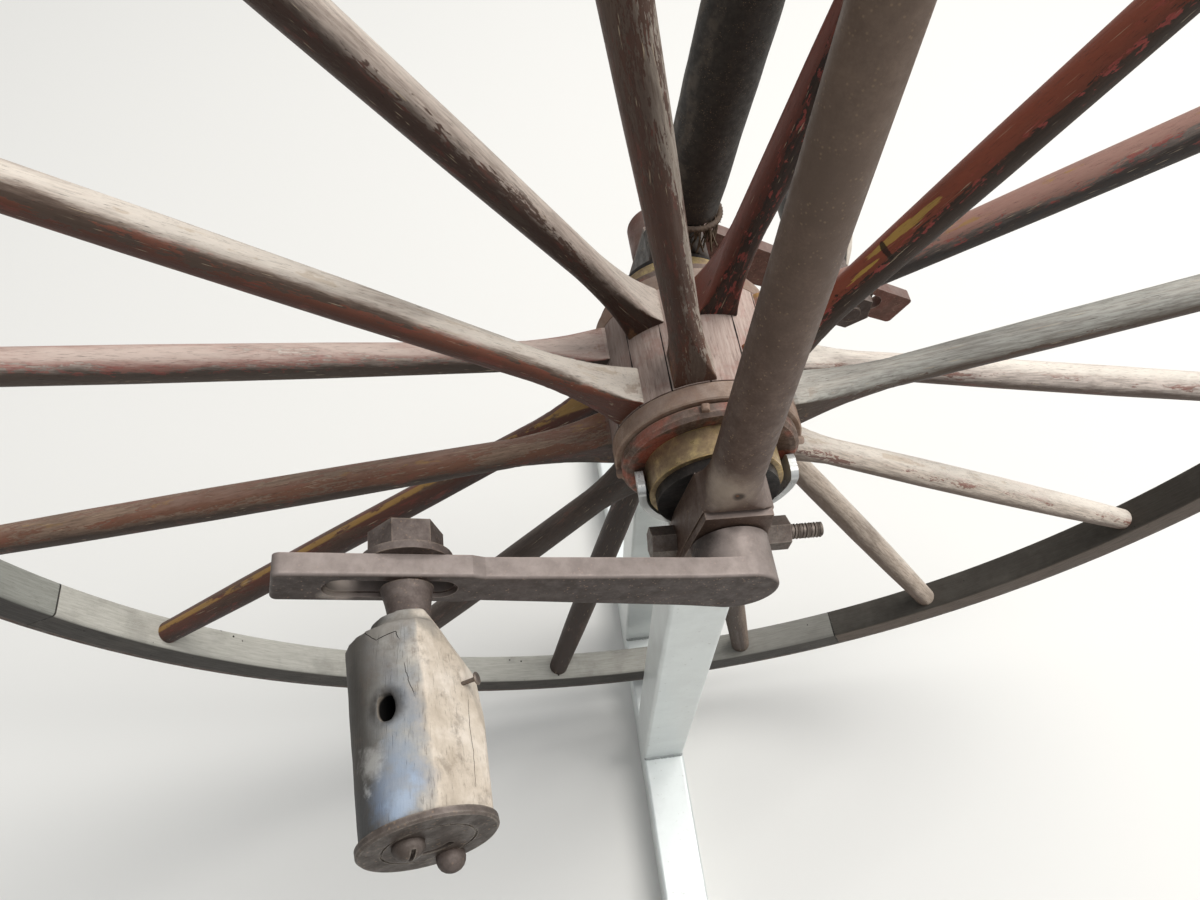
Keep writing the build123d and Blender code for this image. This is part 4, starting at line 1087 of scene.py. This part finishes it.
def far_leg(z):
    """The far leg's middle and its radius at a height."""
    return Vector((-2.2, 84.8 - 0.09 * z, z)), 13.0 - 2.0 * (z - 47.0) / 461.0


def round_leg(z, turn, behind, aside, lift=0.0):
    """A place round the far leg: behind is its reach past the leg's back, aside past its side."""
    middle, radius = far_leg(z)
    wide = radius + 0.5 * behind + 0.4
    deep = radius + aside
    return in_fork(middle.x + 0.5 * behind - 0.4 + (wide + lift) * math.cos(turn),
                   middle.y + (deep + lift) * math.sin(turn), z)


def add_sleeve():
    outer = []
    inner = []
    for row in range(SLEEVE_ROWS + 1):
        z = SLEEVE_LOW + (SLEEVE_HIGH - SLEEVE_LOW) * row / SLEEVE_ROWS
        behind = 7.6 + 2.0 * min((z - SLEEVE_LOW) / BULGE_RISE, 1.0)
        line = []
        hollow = []
        for turn in round_steps(72):
            x = math.cos(turn)
            y = math.sin(turn)
            ragged = 1.6 * noise.noise(Vector((x * 2.5, y * 2.5, z)))
            at = z + (ragged if row in (0, SLEEVE_ROWS) else 0.0)
            fold = 0.45 * noise.noise(Vector((x * 1.5, y * 1.5, z * 0.05)))
            lap = 0.9 if LAP[0] < turn < LAP[1] else 0.0
            line.append(round_leg(at, turn, behind, 2.0, fold + lap))
            hollow.append(round_leg(at, turn, 0.0, 0.15))
        outer.append(line)
        inner.append(hollow)
    settle(skin(outer + inner[::-1], "sleeve", looped=True), "leg_sleeve", "fork_and_stand",
           SLEEVE_LEATHER, 50.0)


def add_sleeve_cord(name, height, drop):
    """A three-strand cord tied round the sleeve, tilted by drop across the leg."""
    up = (in_fork(0, 0, 1) - in_fork(0, 0, 0)).normalized()
    rings = []
    for turn in round_steps(260):
        wander = 0.5 * noise.noise(Vector((math.cos(turn) * 2.0, math.sin(turn) * 2.0, height)))
        z = height + drop * math.cos(turn) + wander
        middle = round_leg(z, turn, CORD_BEHIND, CORD_ASIDE, 1.2)
        outwards = (round_leg(z, turn, CORD_BEHIND, CORD_ASIDE, 5.0) - middle).normalized()
        ring = []
        for around in round_steps(12):
            lay = abs(math.cos(1.5 * (around + turn * CORD_TWISTS)))
            reach = CORD_RADIUS * MM * (0.72 + 0.28 * lay)
            ring.append(middle + outwards * reach * math.cos(around)
                        + up * reach * math.sin(around))
        rings.append(ring)
    settle(skin(rings, name, looped=True), name, "fork_and_stand", CORD_FIBRE, 60.0)


def add_fibres():
    middle, radius = far_leg(SLEEVE_LOW)
    mesh = grown(fibre_tree(), Wide=(radius + 4.4) * MM, Deep=(radius + 1.6) * MM, Length=0.0135,
                 Count=170, Seed=4, Material=CORD_FIBRE)
    centre = in_fork(middle.x + 3.0, middle.y, SLEEVE_LOW - 2.0)
    mesh.transform(moved(centre) @ Matrix.Rotation(RAKE, 4, "Y"))
    settle(mesh, "sleeve_fibres", "fork_and_stand", angle=60.0)


add_sleeve()
add_sleeve_cord("sleeve_cord_low", SLEEVE_LOW - 1.0, -1.5)
add_sleeve_cord("sleeve_cord_high", SLEEVE_HIGH - 6.0, 1.0)
add_fibres()


# Stand: weld beads under each upright and each cradle

WELD_SIZE = 0.0022
WELD_INSET = 0.003
CRADLE_WELD = 0.0105


def add_welds():
    tree = weld_tree()
    for side, sign in SIDES:
        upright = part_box(f"stand_upright_{side}")
        low, high = Vector(upright[0]), Vector(upright[1])
        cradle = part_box(f"stand_cradle_{side}")
        near, far = sorted((cradle[0][1], cradle[1][1]))
        lines = [(low.x + WELD_INSET, high.x - WELD_INSET, y, low.z) for y in (low.y, high.y)]
        lines += [(HUB.x - CRADLE_WELD, HUB.x + CRADLE_WELD, y, high.z) for y in (near, far)]
        beads = [grown(tree, Start=(x0, y, z), End=(x1, y, z), Size=WELD_SIZE, Seed=3 + number,
                       Material=WELD_METAL)
                 for number, (x0, x1, y, z) in enumerate(lines)]
        settle(joined(beads, "beads"), f"stand_welds_{side}", "fork_and_stand",
               WELD_METAL, 60.0)


add_welds()


# Setting: floor, backdrop and light

FLOOR_REACH = 8.0


def add_floor():
    material = bpy.data.materials.new("floor_pale")
    material.use_nodes = True
    shader = material.node_tree.nodes["Principled BSDF"]
    shader.inputs["Base Color"].default_value = tone("e4e2de")
    shader.inputs["Roughness"].default_value = 0.9
    shader.inputs["Specular IOR Level"].default_value = 0.1
    corners = [(x * FLOOR_REACH, y * FLOOR_REACH, CAD_BOX[0][2])
               for x, y in ((-1, -1), (1, -1), (1, 1), (-1, 1))]
    mesh = bpy.data.meshes.new("floor")
    mesh.from_pydata(corners, [], [(0, 1, 2, 3)])
    mesh.materials.append(material)
    floor = linked("floor", mesh)


def add_world():
    """White behind the object, and a soft sky that is brighter on the light's side."""
    world = bpy.data.worlds.new("sky")
    bpy.context.scene.world = world
    world.use_nodes = True
    tree = world.node_tree
    tree.nodes.clear()
    path = put("LightPath", tree=tree)
    seen = calc("MAXIMUM", path["Is Camera Ray"], path["Is Transmission Ray"])
    looks = put("TexCoord", tree=tree)["Generated"]
    towards = aim("DOT_PRODUCT", looks, LIGHT_SIDE)
    soft = put("Background", Color=(0.95, 0.98, 1.0, 1.0),
               Strength=mapped(towards, -0.5, 1.0, 0.12, 0.75))
    white = put("Background", tree=tree, Color=(1.0, 1.0, 1.0, 1.0))
    put("OutputWorld", Surface=put("MixShader", n0=seen, n1=soft, n2=white))


def add_lamp():
    """A round soft lamp that points at the hub."""
    data = bpy.data.lights.new("sky_panel", "AREA")
    data.shape = "DISK"
    data.size = 2.4
    data.energy = 105.0
    data.color = (1.0, 0.985, 0.96)
    lamp = linked("sky_panel", data)
    place = Vector((1.35, 0.45, 2.1))
    towards = (HUB - place).to_track_quat("-Z", "Y")
    lamp.matrix_world = moved(place) @ towards.to_matrix().to_4x4()


add_floor()
add_world()
add_lamp()
bpy.context.scene.view_settings.view_transform = "Standard"
